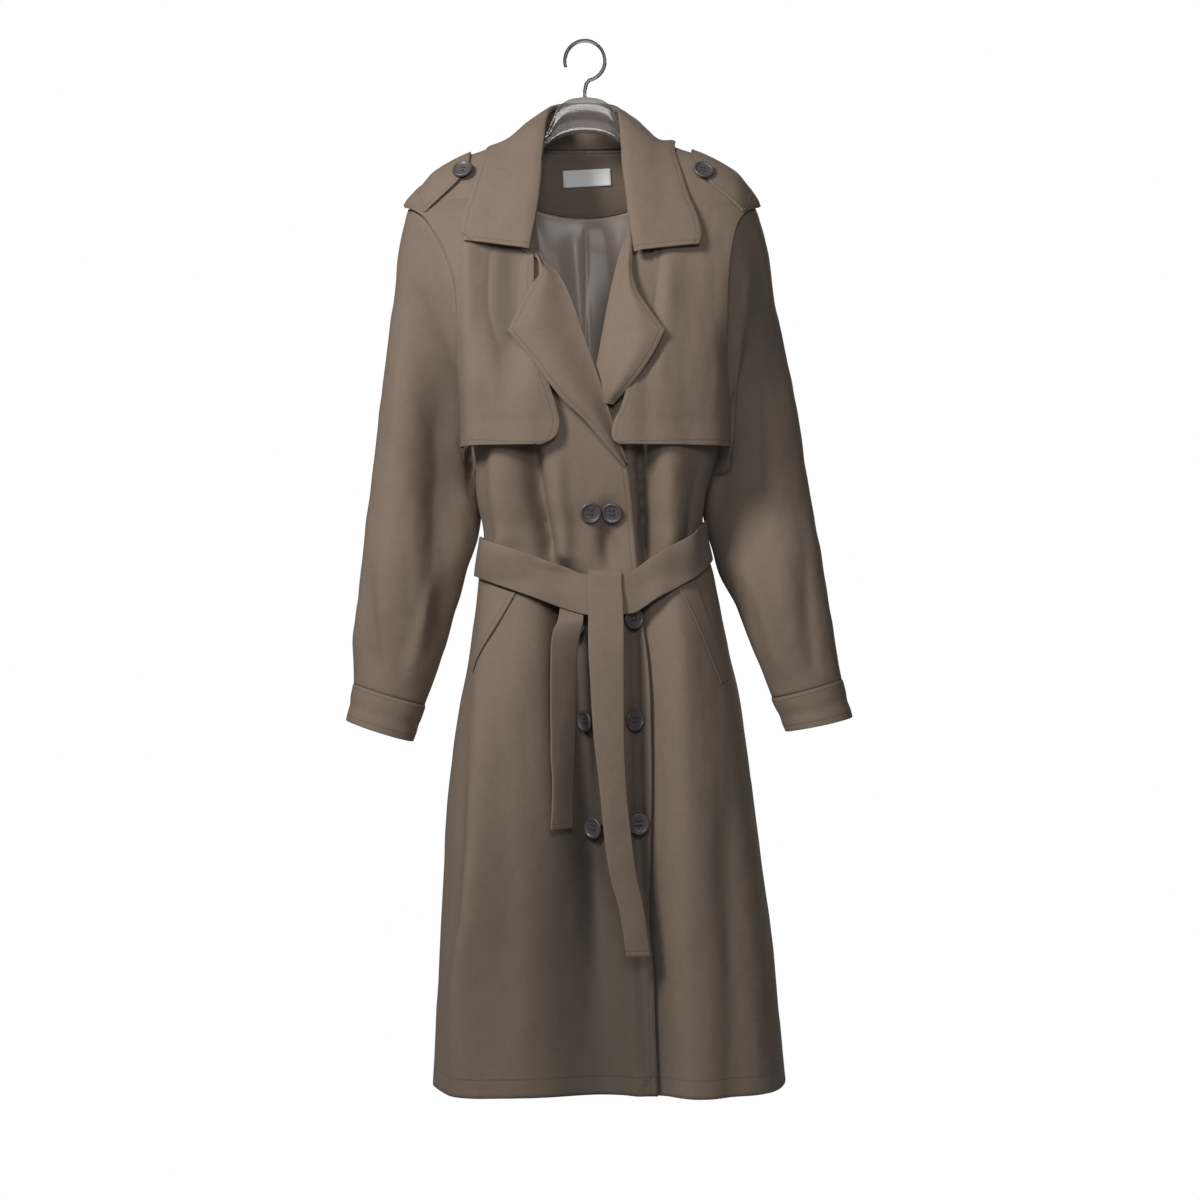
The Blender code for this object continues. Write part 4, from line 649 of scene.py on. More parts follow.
def spread(start, stop, count):
    """Evenly spread numbers."""
    return start + (stop - start) * np.linspace(0, 1, count)


# %% [markdown]
# ## Body panels
# Two fronts and two backs, cut from the body's forms at their seams and front edges.

# %% Fronts and back
NECK_TOP = -0.108
SHOULDER_LOW = -0.190
SKIRT_TOP = -0.620
ROWS = np.concatenate([
    spread(NECK_TOP, SHOULDER_LOW, 44), spread(-0.194, SKIRT_TOP, 118)[:-1], spread(SKIRT_TOP, HEM, 120),
])


def panel(name, form, first, last, columns, seed, stitch, sewn):
    """A body panel between its two edges' angles at each row, tucked in at its sewn borders."""
    share = np.linspace(0, 1, columns)[None, :]
    angle = first[:, None] + (last - first)[:, None] * share
    points = form(angle, ROWS[:, None])
    n = grid_normals(points)
    points = points + n * (crumple(points, seed, 0.0011) - 0.0004)[..., None]
    x, z = points[..., 0], points[..., 2]
    rise = fold_rise(BODY_FOLDS, 1 if "back" in name else -1, x, z)
    if form is left_body:
        rise = rise + fold_rise(LEFT_FOLDS, -1, x, z)
    points = tuck(points, n, sewn)
    cloth(name, points, CLOTH, stitch=stitch, rise=rise)


HEM_ROW = stitched(HEM_STITCH, "bottom")
edge_right, edge_left = (angle_at(smooth(edge, "x", ROWS), ROWS) for edge in (EDGE_RIGHT, EDGE_LEFT))
panel("front_right", body, side_edge(ROWS, -1), edge_right, 84, 1.3,
      stitch=stitched(FRONT_STITCH, "right") + HEM_ROW, sewn=("left",))
panel("front_left", left_body, edge_left, side_edge(ROWS, 1), 84, 5.1,
      stitch=stitched(FRONT_STITCH, "left") + HEM_ROW, sewn=("right",))
half_gap = SEAM / 2 / (smooth(BODY, "half", ROWS) * (1 + 3 * SQUARE) / (1 - SQUARE))
panel("back_left", body, side_edge(ROWS, 1, True), math.pi - half_gap, 76, 9.7,
      stitch=HEM_ROW, sewn=("left", "right"))
panel("back_right", body, math.pi + half_gap, side_edge(ROWS, -1, True) + 2 * math.pi, 76, 11.7,
      stitch=HEM_ROW, sewn=("left", "right"))
print("panels:", [len(p.data.vertices) for p in made_pieces.values()])

# %% [markdown]
# ## Sleeves and cuffs
# Each station is a ring: x and z of its outer and inner edge, y of its middle, half depth, and how
# much of the armhole's own bend it keeps.

# %% Sleeves
SLEEVE_RIGHT = (
    (-0.2035, -0.2228, -0.1205, -0.4720, 0.012, 0.047, 0.70),
    (-0.2112, -0.2833, -0.1190, -0.4850, 0.020, 0.043, 0.40),
    (-0.2200, -0.3493, -0.1180, -0.5010, 0.023, 0.041, 0.15),
    (-0.2299, -0.4263, -0.1152, -0.5200, 0.023, 0.041, 0.02),
    (-0.2354, -0.4868, -0.1180, -0.5420, 0.016, 0.041, 0.0),
    (-0.2442, -0.5693, -0.1305, -0.5803, 0.002, 0.041, 0.0),
    (-0.2497, -0.6243, -0.1427, -0.6243, -0.003, 0.039, 0.0),
    (-0.2530, -0.6628, -0.1548, -0.6700, -0.008, 0.036, 0.0),
    (-0.2525, -0.7035, -0.1749, -0.7277, -0.012, 0.032, 0.0),
)
SLEEVE_LEFT = (
    (0.2046, -0.2228, 0.1402, -0.4720, 0.012, 0.047, 0.70),
    (0.2134, -0.2833, 0.1255, -0.4850, 0.026, 0.043, 0.40),
    (0.2266, -0.3493, 0.1260, -0.5010, 0.034, 0.041, 0.15),
    (0.2398, -0.4263, 0.1300, -0.5200, 0.034, 0.041, 0.02),
    (0.2486, -0.4923, 0.1370, -0.5460, 0.027, 0.041, 0.0),
    (0.2618, -0.5693, 0.1490, -0.5858, 0.008, 0.041, 0.0),
    (0.2695, -0.6243, 0.1672, -0.6243, -0.003, 0.039, 0.0),
    (0.2761, -0.6683, 0.1837, -0.6661, -0.008, 0.036, 0.0),
    (0.2805, -0.6991, 0.2046, -0.7200, -0.012, 0.032, 0.0),
)
CUFF_RIGHT = (-0.2596, -0.7442, -0.1890, -0.7670, -0.014, 0.033, 0.0)
CUFF_LEFT = (0.2915, -0.7409, 0.2210, -0.7560, -0.014, 0.033, 0.0)
SLEEVE_TOP = (0.1945, SHOULDER_TIP, 0.118, ARMPIT, 0.0, 0.046, 1.0)  # the left one's first station
SLEEVE_GAP = 0.0004  # between a sleeve's top and its armhole's edge, sideways and down
ARMPIT_IN = 0.0018  # how far the sleeve's underside lies in at the armpit
SLEEVE_TURN = 0.010  # how far the right sleeve's outer edge hangs forward of its middle
TURN_TOP, TURN_LOW = -0.28, -0.72  # the heights between which it does
CUFF_RAISE = 0.0014  # how far the cuff's outside stands proud of the sleeve
CUFF_TOP = 0.12  # the share of the cuff's length in which it rises to that
CUFF_SLIT = math.radians(4)


def oval(station, turn):
    """Points round a sleeve ring; turn 0 is its outer edge and a quarter turn is its front."""
    x_out, z_out, x_in, z_in, y, depth, _ = station
    middle = np.array([(x_out + x_in) / 2, y, (z_out + z_in) / 2])
    forward = SLEEVE_TURN * (x_out < 0)
    forward *= ease((TURN_TOP - middle[2]) / 0.08) * ease((middle[2] - TURN_LOW) / 0.10)
    reach = np.array([(x_out - x_in) / 2, -forward, (z_out - z_in) / 2])
    return middle + np.cos(turn)[:, None] * reach - np.sin(turn)[:, None] * np.array([0.0, depth, 0.0])


def armhole(side, turn):
    """The armhole seam as a closed ring, at each turn."""
    z = (SHOULDER_TIP + ARMPIT) / 2 + (SHOULDER_TIP - ARMPIT) / 2 * np.cos(turn)
    front = (left_body if side > 0 else body)(side_edge(z, side), z)
    behind = body(side_edge(z, side, behind=True), z)
    share = ease(0.5 + np.sin(turn) / 0.10)[:, None]
    return front * share + behind * (1 - share)


def around_arm(side):
    """The order of a ring's points that runs towards the wearer's left in front."""
    return slice(None) if side < 0 else slice(None, None, -1)


def sleeve(label, side, stations, seed):
    """A sleeve from its armhole seam down through its stations."""
    turn = spread(0.0, 2 * math.pi, 121)
    first = np.array(SLEEVE_TOP) * (side, 1, side, 1, 1, 1, 1)
    bend = armhole(side, turn) - oval(first, turn)
    bend[[0, -1]] = bend[0]
    table = np.vstack([first, stations])
    at = spread(0.0, len(table) - 1, 150)
    fine = np.stack([curve(range(len(table)), table[:, k], at) for k in range(7)], axis=-1)
    points = np.array([oval(s, turn) + s[-1] * bend for s in fine])
    points += SLEEVE_GAP * np.array((side, 0.0, -1.0))
    under_arm = np.exp(-(((turn - math.pi) / 0.5) ** 2))
    points[..., 0] -= side * ARMPIT_IN * under_arm * (1 - ease(at))[:, None]
    way = around_arm(side)
    points, flat = points[:, way], np.sin(turn)[way]
    n = grid_normals(points, tube=True)
    x, z = points[..., 0], points[..., 2]
    rise = fold_rise(SLEEVE_FOLDS, np.where(flat > 0, -1, 1), x, z) * ease(np.abs(flat) / 0.45)
    rise = rise + crumple(points, seed, 0.0015, 0.05, 0.035) * ease(at / 0.6)[:, None]
    points = points + n * (rise * ease((len(table) - 1 - at) / 0.7)[:, None])[..., None]
    points[:, -1] = points[:, 0]
    points = tuck(points, n, ("top",), 0.0006 * (1 - under_arm[way]))
    cloth("sleeve_" + label, points, CLOTH, tube=True, rise=rise)


def cuff(label, side, wrist, end, seed):
    """A band round the wrist, open at a slit on its inner edge."""
    turn = spread(math.pi + CUFF_SLIT, 3 * math.pi - CUFF_SLIT, 110)
    down = np.concatenate([spread(0, CUFF_TOP, 5)[:-1], spread(CUFF_TOP, 1, 18)])
    wrist, end = np.array(wrist), np.array(end)
    points = np.array([oval(wrist * (1 - s) + end * s, turn) for s in down])[:, around_arm(side)]
    points[..., 2] -= SEAM + 0.0001
    n = grid_normals(points)
    proud = CUFF_RAISE * ease(down / CUFF_TOP + 0.25)[:, None]
    proud = proud + crumple(points, seed, 0.0008, 0.03, 0.03)
    proud = proud - 0.0010 * np.exp(-((down[:, None] - 0.55) / 0.15) ** 2)
    points = points + n * proud[..., None]
    stitch = stitched(EDGE_STITCH, "top") + stitched(FRONT_STITCH, "bottom")
    cloth("cuff_" + label, points, DOUBLE, stitch=stitch, rim=EDGE_RIM)


for label, side, stations, end, seed in (
    ("right", -1, SLEEVE_RIGHT, CUFF_RIGHT, 2.2),
    ("left", 1, SLEEVE_LEFT, CUFF_LEFT, 6.6),
):
    sleeve(label, side, stations, seed)
    cuff(label, side, stations[-1], end, seed + 3)
print("sleeves and cuffs made")

# %% [markdown]
# ## Storm flaps
# Capes sewn in the shoulder seam and armhole, hanging free below from a ring of their own: its half
# width, centre, depth in front, place forward or back, and the angle in degrees where it ends.

# %% Capes
CAPE = {
    "z": (-0.120, -0.184, -0.250, -0.305, -0.350, -0.385, -0.412, -0.426, -0.438, -0.4455, -0.449),
    "right_edge": (-0.0700, -0.0640, -0.0540, -0.0530, -0.0490, -0.0375, -0.0290, -0.0263, -0.0290,
                   -0.0370, -0.0460),
    "left_edge": (0.0700, 0.0730, 0.0730, 0.0660, 0.0560, 0.0460, 0.0375, 0.0305, 0.0285,
                  0.0310, 0.0380),
    "half": (0.107, 0.150, 0.168, 0.1560, 0.1465, 0.1455, 0.1450, 0.1452, 0.1455, 0.1455, 0.1455),
    "centre": (0.0, 0.0, 0.005, 0.0065, 0.0075, 0.0095, 0.0110, 0.0112, 0.0115, 0.0115, 0.0115),
    "front": (0.022, 0.052, 0.060, 0.058, 0.0580, 0.058, 0.058, 0.058, 0.058, 0.058, 0.058),
    "forward": (0.0, 0.0, -0.024, -0.038, -0.044, -0.045, -0.044, -0.043, -0.043, -0.043, -0.043),
    "end": (90.0, 90.0, 60.0, 64.0, 80.0, 88.0, 93.0, 95.0, 98.0, 100.0, 101.0),
}
CAPE_FREE = -0.290  # height where the cape leaves the armhole seam
CAPE_LIFT = 0.0044  # the cape's outside above the body's outside
CAPE_INSET = 0.035  # angle by which the cape stops short of the armhole seam
CAPE_RETURN = 0.030  # depth of the ring behind its centre, where the edge turns back
SEWN_TROUGH = 0.0020  # the deepest trough where the cape lies on the front
FREE_TROUGH = 0.012  # how much deeper one may be where it hangs free
CAPE_PAINTED_SHADE = 1.6  # its shallow troughs take this much more of the painted shade


def cape(side, share, z):
    """A cape's surface and the rise of its folds: share 0 at its inner edge, 1 at the armhole seam
    or the free edge."""
    share, z = np.broadcast_arrays(np.asarray(share, float), np.asarray(z, float))
    edge = smooth(CAPE, "left_edge" if side > 0 else "right_edge", z)
    start, end = angle_at(edge, z), side_edge(z, side) - side * CAPE_INSET
    sewn = on(left_body if side > 0 else body, start + (end - start) * share, z, CAPE_LIFT)
    half, centre = smooth(CAPE, "half", z), smooth(CAPE, "centre", z)
    first = np.interp(np.clip((edge - centre) / half, -1, 1), across(QUARTER)[0], QUARTER)
    angle = first + (side * np.radians(smooth(CAPE, "end", z)) - first) * share
    wide, deep = across(angle)
    depth = np.where(deep > 0, smooth(CAPE, "front", z), CAPE_RETURN)
    free = np.stack([centre + half * wide, smooth(CAPE, "forward", z) - depth * deep, z], axis=-1)
    blend = ease((CAPE_FREE - z) / 0.100)[..., None]
    p = sewn * (1 - blend) + free * blend
    rise = fold_rise(CAPE_FOLDS, -1, p[..., 0], z) * ease((np.abs(deep) - 0.15) / 0.4)
    p[..., 1] -= np.maximum(rise, -SEWN_TROUGH - FREE_TROUGH * blend[..., 0])
    return p, rise


CAPE_ROWS = np.concatenate([spread(-0.120, -0.405, 84)[:-1], spread(-0.405, -0.449, 26)])
cape_share = spread(0, 1, 64)[None, :] ** 0.85
for side, label, seed in ((-1, "right", 3.4), (1, "left", 7.9)):
    points, rise = (grid[:, ::side] for grid in cape(side, cape_share, CAPE_ROWS[:, None]))
    n = grid_normals(points)
    points = points + n * (np.maximum(crumple(points, seed, 0.0012), -0.0006) + 0.0004)[..., None]
    stitch = stitched(FRONT_STITCH, "right" if side < 0 else "left", "bottom")
    # the scaled rise sets how much painted shade the cape's troughs get
    cloth("storm_flap_" + label, points, CLOTH, stitch=stitch, rim=THIN_RIM, rise=CAPE_PAINTED_SHADE * rise)
print("storm flaps made")

# %% [markdown]
# ## Lapels
# Row by row from the gorge to the break: x and z at the roll line and at the outer edge, how far
# the edge lifts off the body, and how far the roll lies back under what crosses it.

# %% Lapels
LAPEL_RIGHT = {
    "roll_x": (-0.0500, -0.0425, -0.0310, -0.0229, -0.0143, -0.0047, 0.0038, 0.0133, 0.0228, 0.0344,
               0.0445),
    "roll_z": (-0.2380, -0.2540, -0.2630, -0.2759, -0.2970, -0.3243, -0.3491, -0.3780, -0.4067, -0.4425,
               -0.4680),
    "edge_x": (-0.0560, -0.0485, -0.0480, -0.0560, -0.0680, -0.0806, -0.0540, -0.0276, 0.0007, 0.0249,
               0.0425),
    "edge_z": (-0.2380, -0.2560, -0.2650, -0.2790, -0.3020, -0.3285, -0.3618, -0.3969, -0.4242, -0.4524,
               -0.4725),
    "lift": (0.003, 0.005, 0.007, 0.011, 0.015, 0.018, 0.018, 0.015, 0.012, 0.009, 0.006),
    "under": (0.003, 0.003, 0.0015, 0, 0, 0, 0, 0, 0, 0, 0),
}
LAPEL_LEFT = {
    "roll_x": (0.0480, 0.0400, 0.0325, 0.0260, 0.0202, 0.0165, 0.0130, 0.0120, 0.0160),
    "roll_z": (-0.2195, -0.2398, -0.2709, -0.3015, -0.3306, -0.3540, -0.3700, -0.3880, -0.4050),
    "edge_x": (0.0515, 0.0506, 0.0547, 0.0683, 0.0848, 0.0735, 0.0600, 0.0450, 0.0305),
    "edge_z": (-0.2300, -0.2589, -0.2823, -0.3055, -0.3285, -0.3520, -0.3730, -0.3920, -0.4075),
    "lift": (0.004, 0.008, 0.012, 0.017, 0.020, 0.021, 0.020, 0.016, 0.007),
    "under": (0, 0, 0, 0, 0, 0.001, 0.004, 0.006, 0.006),
}
ROLL_LIFT = 0.0032
BELLY = 0.0030  # how far a lapel's leaf bulges between its roll and its edge
PEAK = {"right": 5, "left": 4}  # the row of the lapel's point


def fine_rows(values, peak, count=81):
    """A table's column at many rows, with its corner kept sharp at the peak's row."""
    at = spread(0, len(values) - 1, count)
    before = curve(range(peak + 1), values[: peak + 1], at)
    after = curve(range(peak, len(values)), values[peak:], at)
    return np.where(at < peak, before, after)


def lapel(label, side, table):
    """The turned-back front edge: from its rolled fold to its peak and lower edge."""
    peak = PEAK[label]
    last = len(table["lift"]) - 1
    at = spread(0, last, 81)
    roll_x, roll_z, edge_lift, under = (
        curve(range(last + 1), table[key], at) for key in ("roll_x", "roll_z", "lift", "under")
    )
    edge_x, edge_z = (fine_rows(table[key], peak) for key in ("edge_x", "edge_z"))
    edge_lift = edge_lift[:, None]
    share = spread(0, 1, 26)[None, :]
    x = np.outer(roll_x, 1 - share[0]) + np.outer(edge_x, share[0])
    z = np.outer(roll_z, 1 - share[0]) + np.outer(edge_z, share[0])
    roll_lift = np.minimum(ROLL_LIFT, edge_lift)
    plain = body(angle_at(x, z), z)[..., 1]
    belly = BELLY * np.sin(math.pi * share) * ease(edge_lift / 0.015)
    forward = roll_lift + (edge_lift - roll_lift) * ease(share / 0.75) + belly
    leaf = np.stack([x, plain - forward, z], axis=-1)
    turn = np.radians(spread(-90, 75, 7))[None, :]
    half = roll_lift / 2
    roll = np.stack([
        roll_x[:, None] - side * half * np.cos(turn) * 1.4,
        plain[:, :1] - half * (1 + np.sin(turn)),
        roll_z[:, None] + 0 * turn,
    ], axis=-1)
    points = np.concatenate([roll, leaf], axis=1)
    covered = np.concatenate([np.ones(7), 1 - ease(share[0] / 0.6)])
    points[..., 1] += under[:, None] * covered
    points = points[:, ::-1] if side < 0 else points
    points = points + grid_normals(points) * crumple(points, 4.0 + side, 0.0008, 0.05, 0.04)[..., None]
    stitch = stitched(EDGE_STITCH, "left" if side < 0 else "right", "top", "bottom")
    cloth("lapel_" + label, points, TURNED, stitch=stitch, rim=0.0005)


lapel("right", -1, LAPEL_RIGHT)
lapel("left", 1, LAPEL_LEFT)
print("lapels made")

# %% [markdown]
# ## Collar
# Station by station from the right front end round the back to the left one: the roll (top of
# the fold), the leaf's edge, how far the leaf lies off the body, and its bulge.

# %% Collar
COLLAR = (
    (-0.0581, -0.080, -0.2402, -0.1271, -0.066, -0.2318, 0.0160, 0.004),
    (-0.0560, -0.077, -0.2270, -0.1310, -0.060, -0.2200, 0.0150, 0.005),
    (-0.0515, -0.070, -0.2030, -0.1275, -0.055, -0.2010, 0.0135, 0.006),
    (-0.0472, -0.056, -0.1640, -0.1205, -0.047, -0.1765, 0.0120, 0.006),
    (-0.0450, -0.036, -0.1260, -0.1125, -0.032, -0.1480, 0.0090, 0.005),
    (-0.0420, -0.012, -0.0900, -0.1040, -0.006, -0.1280, 0.0066, 0.008),
    (-0.0385, 0.018, -0.0685, -0.0930, 0.030, -0.1300, 0.0062, 0.010),
    (-0.0290, 0.040, -0.0590, -0.0740, 0.064, -0.1390, 0.0065, 0.007),
    (0.0, 0.049, -0.0550, 0.0, 0.077, -0.1400, 0.0100, 0.008),
    (0.0250, 0.040, -0.0590, 0.0720, 0.064, -0.1390, 0.0065, 0.008),
    (0.0340, 0.018, -0.0680, 0.0870, 0.030, -0.1300, 0.0062, 0.012),
    (0.0375, -0.012, -0.0895, 0.0940, -0.006, -0.1280, 0.0066, 0.010),
    (0.0390, -0.036, -0.1260, 0.1020, -0.032, -0.1480, 0.0088, 0.006),
    (0.0423, -0.057, -0.1650, 0.1095, -0.047, -0.1776, 0.0120, 0.006),
    (0.0470, -0.070, -0.2030, 0.1200, -0.056, -0.2080, 0.0140, 0.006),
    (0.0510, -0.077, -0.2290, 0.1232, -0.061, -0.2270, 0.0150, 0.005),
    (0.0532, -0.080, -0.2430, 0.1204, -0.066, -0.2361, 0.0160, 0.004),
)
STAND_RIGHT = (-0.2490, -0.238, -0.215, -0.176, -0.143, -0.116)
STAND_BACK = (-112.0, -140.0, -180.0, -220.0, -248.0)
STAND_LEFT = (-0.116, -0.143, -0.176, -0.198, -0.206, -0.214)
FOLD_RADIUS = 0.0032  # of the collar's roll
FOLD_TURNS = np.radians(spread(200, 35, 10))  # round the roll, from inside the stand to the leaf
STATIONS = 190  # places along the collar, once its table is refined
EVEN = 12  # passes that even out how the leaf lies on the body
STAND_TOP = 0.0085  # the stand's top edge below the roll's top


def blur(field, times):
    """Evens out a grid of values."""
    for axis in (0, 1) * times:
        count = field.shape[axis]
        wider = field.take([0, *range(count), count - 1], axis)
        before, after = (wider.take(range(k, k + count), axis) for k in (0, 2))
        field = 0.25 * after + 0.5 * field + 0.25 * before
    return field


def rest(points, lift):
    """Moves points out of the body until they lie at least a lift above it, evenly."""
    x, y, z = (points[..., k] for k in range(3))
    behind = ease(0.5 + y / 0.030)
    n, above = 0, 0
    for share, back_side in ((1 - behind, False), (behind, True)):
        angle = angle_at(x, z, back_side)
        way = normal(ring, angle, z)
        n = n + way * share[..., None]
        above = above + ((points - ring(angle, z)) * way).sum(axis=-1) * share
    n = unit(np.stack([blur(n[..., k], EVEN) for k in range(3)], axis=-1))
    beside = ease((ROWS[0] + 0.002 - z) / 0.012)  # nothing to lie on above the neck edge
    return points + n * blur(np.maximum(lift - above, 0) * beside, EVEN)[..., None]


def stand_foot():
    """The stand's foot: over the fronts' neck edges, and on top of the back's neck edge."""
    feet = []
    over = CLOTH + SEAM + np.array((0.0004, 0.0004, 0.0004, 0.0004, 0.0008, 0.0070))
    for side, heights, edge in ((-1, STAND_RIGHT, EDGE_RIGHT), (1, STAND_LEFT, EDGE_LEFT)):
        z = np.array(heights)
        x = smooth(edge, "x", z) + side * 0.003
        feet.append(on(left_body if side > 0 else body, angle_at(x, z), z, over if side < 0 else over[::-1]))
    behind = on(body, np.radians(STAND_BACK), ROWS[0], -CLOTH)
    behind[:, 2] += (0.0065, 0.0012, 0.0010, 0.0012, 0.0065)
    return np.concatenate([feet[0], behind, feet[1]])


def refine(rows, count):
    """A list of stations at many places, by length along the first three columns."""
    rows = np.asarray(rows, float)
    at = running(rows[:, :3])
    fine = spread(0, at[-1], count)
    return np.stack([curve(at, column, fine) for column in rows.T], axis=-1)


def soften(values, times):
    """Evens out kinks between neighbouring stations, keeping the two ends."""
    values = values.copy()
    for _ in range(times):
        values[1:-1] = 0.25 * values[:-2] + 0.5 * values[1:-1] + 0.25 * values[2:]
    return values


def collar():
    """The leaf turned down over the stand. The leaf is double cloth and carries the roll."""
    stations = soften(refine(COLLAR, STATIONS), 14)
    foot = soften(refine(stand_foot(), STATIONS), 4)
    roll, edge, lift, bulge = stations[:, 0:3], stations[:, 3:6], stations[:, 6], stations[:, 7:]
    fall = edge - roll
    out = unit(soften(unit(np.cross(unit(np.gradient(roll, axis=0)), fall)), 10))
    fall_way = unit(fall)
    profile = []
    for turn in FOLD_TURNS:
        sideways, down = FOLD_RADIUS * math.cos(turn), FOLD_RADIUS * (1 - math.sin(turn))
        profile.append(roll + out * sideways + fall_way * down)
    leaf = []
    for share in spread(0.12, 1.0, 24):
        off = (FOLD_RADIUS + bulge * math.sin(math.pi * share * 0.9)) * (1 - 0.55 * share)
        leaf.append(roll + fall * share + out * off)
    outer = np.array(profile + list(rest(np.array(leaf), lift)))[:, ::-1]
    outer = outer + grid_normals(outer) * crumple(outer, 12.5, 0.0010, 0.04, 0.04)[..., None]
    stitch = stitched(EDGE_STITCH, "bottom", "left", "right")
    cloth("collar_leaf", outer, DOUBLE, stitch=stitch, rim=EDGE_RIM)
    top = roll - out * (FOLD_RADIUS - 0.0005) + fall_way * STAND_TOP
    face = np.array([foot + (top - foot) * share for share in spread(1, 0, 16)])
    cloth("collar_stand", face, CLOTH, stitch=stitched(0.004, "bottom"))


collar()
print("collar made")

# %% [markdown]
# ## Inside the neck
# The facing, the lining sewn to its curved lower edge, and a blank label.

# %% Facing, lining and label
FACING = {
    "z": (-0.1115, -0.120, -0.132, -0.146, -0.158, -0.168),
    "wide": (0.058, 0.063, 0.068, 0.070, 0.070, 0.068),
    "dip": (0.0, 0.0, 0.0, 0.004, 0.009, 0.0135),
}
LINING_ROWS = (FACING["z"][-1], -0.226, -0.412)
LINING_WIDE = 0.105
LINING_HANG = 0.0016  # how far the lining hangs in front of the back's hollow
LINING_SEAM = 0.0022  # half width of the crease at its middle seam
# Its gathers: height, width, slant and where each wave starts
GATHERS = ((0.0022, 0.0105, 14, 0.0), (0.0012, 0.0061, -9, 1.0))
INSIDE = CLOTH + 0.0030  # the facing's inner face below the back's outside
JOIN = 0.0004
LABEL_SIZE = (0.054, 0.019)
LABEL_MIDDLE = (0.0019, -0.1374)
LABEL_TILT = math.radians(3)


def around_back(x, z):
    """Angles of points behind, running one way round."""
    return angle_at(x, z, True) % (2 * math.pi)


def neck_facing():
    """The facing, laid along the inside of the back. Returns its lower edge's width and dip."""
    share = spread(1, -1, 60)[None, :]
    level = spread(FACING["z"][0], FACING["z"][-1], 34)
    wide, dip = (smooth(FACING, key, level)[:, None] for key in ("wide", "dip"))
    z = level[:, None] - dip * (1 - share**2)
    out = -INSIDE + 0.0007 * ease((z - FACING["z"][2]) / (FACING["z"][0] - FACING["z"][2]))
    points = on(ring, around_back(wide * share, z), z, out + CLOTH)
    cloth("neck_facing", points, CLOTH, stitch=stitched(0.003, "bottom"))
    return wide[-1], dip[-1]


def lining(facing_wide, facing_dip):
    """The lining, with a seam down its middle: it hangs in soft gathers from the facing."""
    x = spread(LINING_WIDE, -LINING_WIDE, 110)[None, :]
    bend = facing_dip * (1 - np.clip(x / facing_wide, -1, 1) ** 2)
    top, level, low = LINING_ROWS
    rows = spread(top, low, 70)[:, None]
    z = rows - (bend + JOIN) * np.clip((rows - level) / (top - level), 0, 1)
    points = on(ring, around_back(x + 0 * z, z), z, -INSIDE + LINING)
    hang = ease((top - rows) / 0.05)
    folds = sum(high * np.sin(x / wide + slant * rows + start) for high, wide, slant, start in GATHERS)
    points[..., 1] -= np.maximum(folds * hang, -0.0006) + 0.0004
    points[..., 1] += 0.0016 * np.exp(-((x / LINING_SEAM) ** 2)) * hang
    points[..., 1] += np.minimum(fold_rise(BODY_FOLDS, 1, x + 0 * z, z), 0) - LINING_HANG * hang
    cloth("lining_back", points, LINING, SATIN)


def neck_label():
    """The blank woven label, sewn flat on the facing's inner face."""
    wide = spread(-0.5, 0.5, 24)[None, :] * LABEL_SIZE[0]
    down = spread(0.5, -0.5, 12)[:, None] * LABEL_SIZE[1]
    x = LABEL_MIDDLE[0] + wide * math.cos(LABEL_TILT) - down * math.sin(LABEL_TILT)
    z = LABEL_MIDDLE[1] + wide * math.sin(LABEL_TILT) + down * math.cos(LABEL_TILT)
    points = on(ring, around_back(x, z), z, -INSIDE - 0.0018)
    points = points - np.array((0, 0.0006, 0)) * np.abs(2 * down[..., None] / LABEL_SIZE[1]) ** 3
    cloth("neck_label", points, 0.0005, LABEL, stitch=stitched(0.002, "left", "right"))


lining(*neck_facing())
neck_label()
print("inside of the neck made")

# %% [markdown]
# ## Epaulettes
# Straps along the shoulder: x, and how far the front and back edges lie below the ridge.

# %% Epaulettes
EPAULETTE = (
    (0.1225, 0.004, 0.003),
    (0.1250, 0.016, 0.012),
    (0.1320, 0.025, 0.019),
    (0.1500, 0.035, 0.023),
    (0.1690, 0.0385, 0.023),
    (0.1780, 0.0130, 0.011),
    (0.1805, 0.003, 0.003),
)
EPAULETTE_LIFT = 0.0084
EPAULETTE_REACH = 0.0080  # the left one starts further in, by the narrower collar leaf
EPAULETTE_SETTLE = 0.0036  # how far its outer end comes down
SETTLE_FROM, SETTLE_OVER = 0.160, 0.018


def ridge_height(x):
    """Height of the shoulder's ridge at a distance from the centre."""
    heights = spread(SHOULDER_TIP, -0.104, 300)
    return np.interp(np.abs(x), smooth(BODY, "half", heights)[::-1], heights[::-1])


def epaulette(label, side):
    """A strap over the shoulder's ridge, from its inner point to its outer end."""
    share = spread(-1, 1, 44)[:, None]
    table = np.array(EPAULETTE)
    last = len(table) - 1
    at = spread(0, last, 52) ** 1.15 / last**0.15  # rows crowd towards the inner point
    x, front, behind = (curve(range(last + 1), table[:, k], at) for k in range(3))
    x = x - (EPAULETTE_REACH if side > 0 else 0.0) * (x[-1] - x) / (x[-1] - x[0])
    x, front, behind = (x * side)[::side], front[::side], behind[::side]
    z = ridge_height(x)[None, :] - np.where(share > 0, front, behind) * share**2 - 0.0002
    flat = x[None, :] + 0 * z
    angle = np.where(share > 0, angle_at(flat, z), angle_at(flat, z, True))
    settle = EPAULETTE_SETTLE * ease((np.abs(x) - SETTLE_FROM) / SETTLE_OVER)
    points = on(ring, angle, z, EPAULETTE_LIFT - settle[None, :])
    stitch = stitched(EDGE_STITCH, "top", "bottom", "left" if side > 0 else "right")
    cloth("epaulette_" + label, points, TURNED, stitch=stitch, rim=EDGE_RIM)


epaulette("right", -1)
epaulette("left", 1)
print("epaulettes made")

